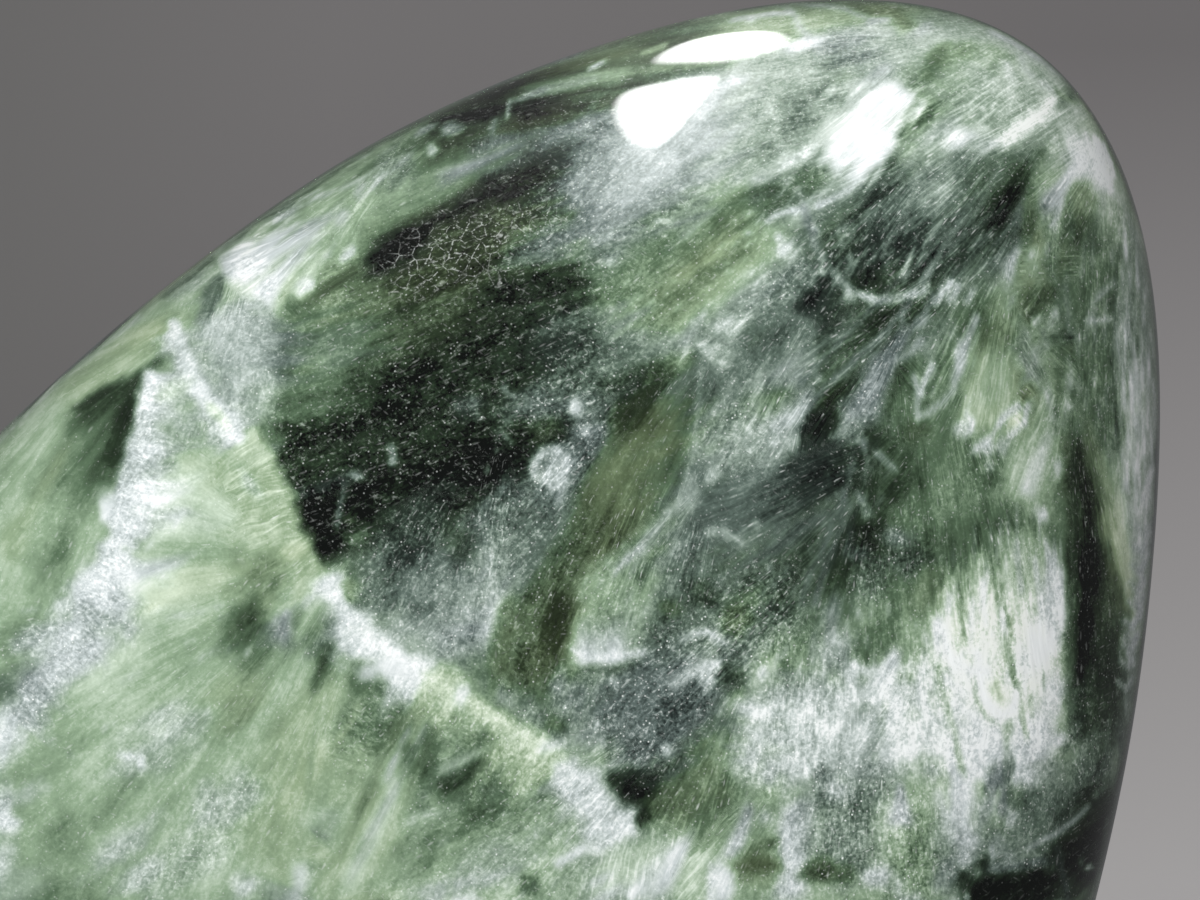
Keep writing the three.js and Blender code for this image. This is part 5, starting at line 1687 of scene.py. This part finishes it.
def softbox(name, turn, zenith, distance, size, level):
    """A softbox at an angle round the frame, from its right towards its top, and down from overhead.
    Its level is the light that it gives a white sheet that lies flat, where 1 shows as full white."""
    turn, zenith = math.radians(turn), math.radians(zenith)
    across_floor = FRAME_RIGHT * math.cos(turn) + FRAME_UP * math.sin(turn)
    away = across_floor * math.sin(zenith) + np.array((0, 0, math.cos(zenith)))
    lamp = bpy.data.lights.new(name, "AREA")
    lamp.shape = "RECTANGLE"
    lamp.size, lamp.size_y = size
    lamp.energy = level * (math.pi * distance) ** 2 / math.cos(zenith)
    lamp.color = LAMP_WHITE
    made = put_in_scene(name, lamp)
    made.location = lit_middle + away * distance
    made.rotation_euler = Vector(away).to_track_quat("Z", "Y").to_euler()
    made.visible_camera = False
    return made


LIT_HEIGHT = 0.012
lit_middle = np.array((FRAME_MIDDLE_MM[0] * MM, FRAME_MIDDLE_MM[1] * MM, LIT_HEIGHT))
only_stone = bpy.data.collections.new("lit_stone")
only_stone.objects.link(skin)
only_floor = bpy.data.collections.new("lit_floor")
only_floor.objects.link(floor)
for lamp_name, turn, zenith, distance, size, level in (
    ("key_softbox", 104, 42, 0.6, (0.30, 0.22), 0.68),
    ("fill_softbox", 222, 52, 0.8, (0.55, 0.35), 0.10),
    ("overhead_softbox", 0, 0, 0.9, (0.8, 0.8), 0.30),
):
    over_stone = softbox(lamp_name, turn, zenith, distance, size, level)
    over_stone.visible_glossy = False
    over_stone.light_linking.receiver_collection = only_stone
over_floor = softbox("floor_wash", 0, 0, 0.9, (0.5, 0.5), 0.955)
over_floor.light_linking.receiver_collection = only_floor
over_floor.light_linking.blocker_collection = only_floor


CARD_ROUNDINGS = 3
CARD_RINGS = (1.04, 0.74)


def mirror_card(name, middle, toward, outline, strength):
    """A small card, bright within and dim at its rim, square to the ray from the polish that mirrors it."""
    out = np.array(toward) / np.linalg.norm(toward)
    side = np.cross((0, 0, 1), out)
    side /= np.linalg.norm(side)
    rise_way = np.cross(out, side)
    rounded = np.array(outline)
    for _ in range(CARD_ROUNDINGS):
        after = np.roll(rounded, -1, axis=0)
        cut_corners = (rounded * 0.75 + after * 0.25, rounded * 0.25 + after * 0.75)
        rounded = np.stack(cut_corners, axis=1).reshape(-1, 2)
    heart = rounded.mean(axis=0)
    rings = [heart + (rounded - heart) * size for size in CARD_RINGS]
    corners = [(np.array(middle) + side * a + rise_way * b) * MM for ring in rings for a, b in ring]
    number = len(rounded)
    faces = [(n, (n + 1) % number, number + (n + 1) % number, number + n) for n in range(number)]
    faces.append(tuple(range(number, 2 * number)))
    card_mesh = bpy.data.meshes.new(name)
    card_mesh.from_pydata([tuple(corner) for corner in corners], [], faces)
    inner = card_mesh.attributes.new("inner", "FLOAT", "POINT")
    inner.data.foreach_set("value", [0.0] * number + [1.0] * number)
    glow = start_material(name)
    within = add_node("ShaderNodeAttribute", attribute_name="inner")
    level = math_of("MULTIPLY", within.outputs["Fac"], strength)
    lit = add_node("ShaderNodeEmission", {"Strength": level})
    add_node("ShaderNodeOutputMaterial", {"Surface": lit.outputs[0]})
    card_mesh.materials.append(glow)
    card = put_in_scene(name, card_mesh)
    card.visible_camera = card.visible_diffuse = card.visible_shadow = False


mirror_card(
    "lower_card", (67.1, 51.4, 11.5), (0.706, 0.707, -0.038),
    [(2.6, -0.8), (2.3, -9.8), (-0.7, -7.9), (-4.2, -4.9), (-1.9, 2.9), (0.1, 9.3), (1.5, 7.0)], 30.0,
)
mirror_card(
    "upper_card", (42.1, 20.7, 6.3), (0.666, 0.682, -0.299), [
        (3.2, -0.8), (2.5, -4.0), (0.9, -6.2), (-2.0, -3.8), (-3.3, -1.0), (-3.5, 2.5), (-0.5, 3.7),
        (1.4, 1.8),
    ], 22.0,
)

# The camera looks straight down on the slim end with a long lens, the stone's length leaning right.
CAMERA_DISTANCE = 0.6
FRAME_WIDTH = 0.040
camera_data = bpy.data.cameras.new("camera")
camera_data.sensor_width = 36
camera_data.lens = camera_data.sensor_width * CAMERA_DISTANCE / FRAME_WIDTH
camera_data.clip_start = 0.05
camera = put_in_scene("camera", camera_data)
camera.location = (FRAME_MIDDLE_MM[0] * MM, FRAME_MIDDLE_MM[1] * MM, REST_DROP * MM + CAMERA_DISTANCE)
camera.rotation_euler = (0, 0, -TURN_OF_LENGTH)
bpy.context.scene.camera = camera
bpy.context.scene.view_settings.view_transform = "Standard"
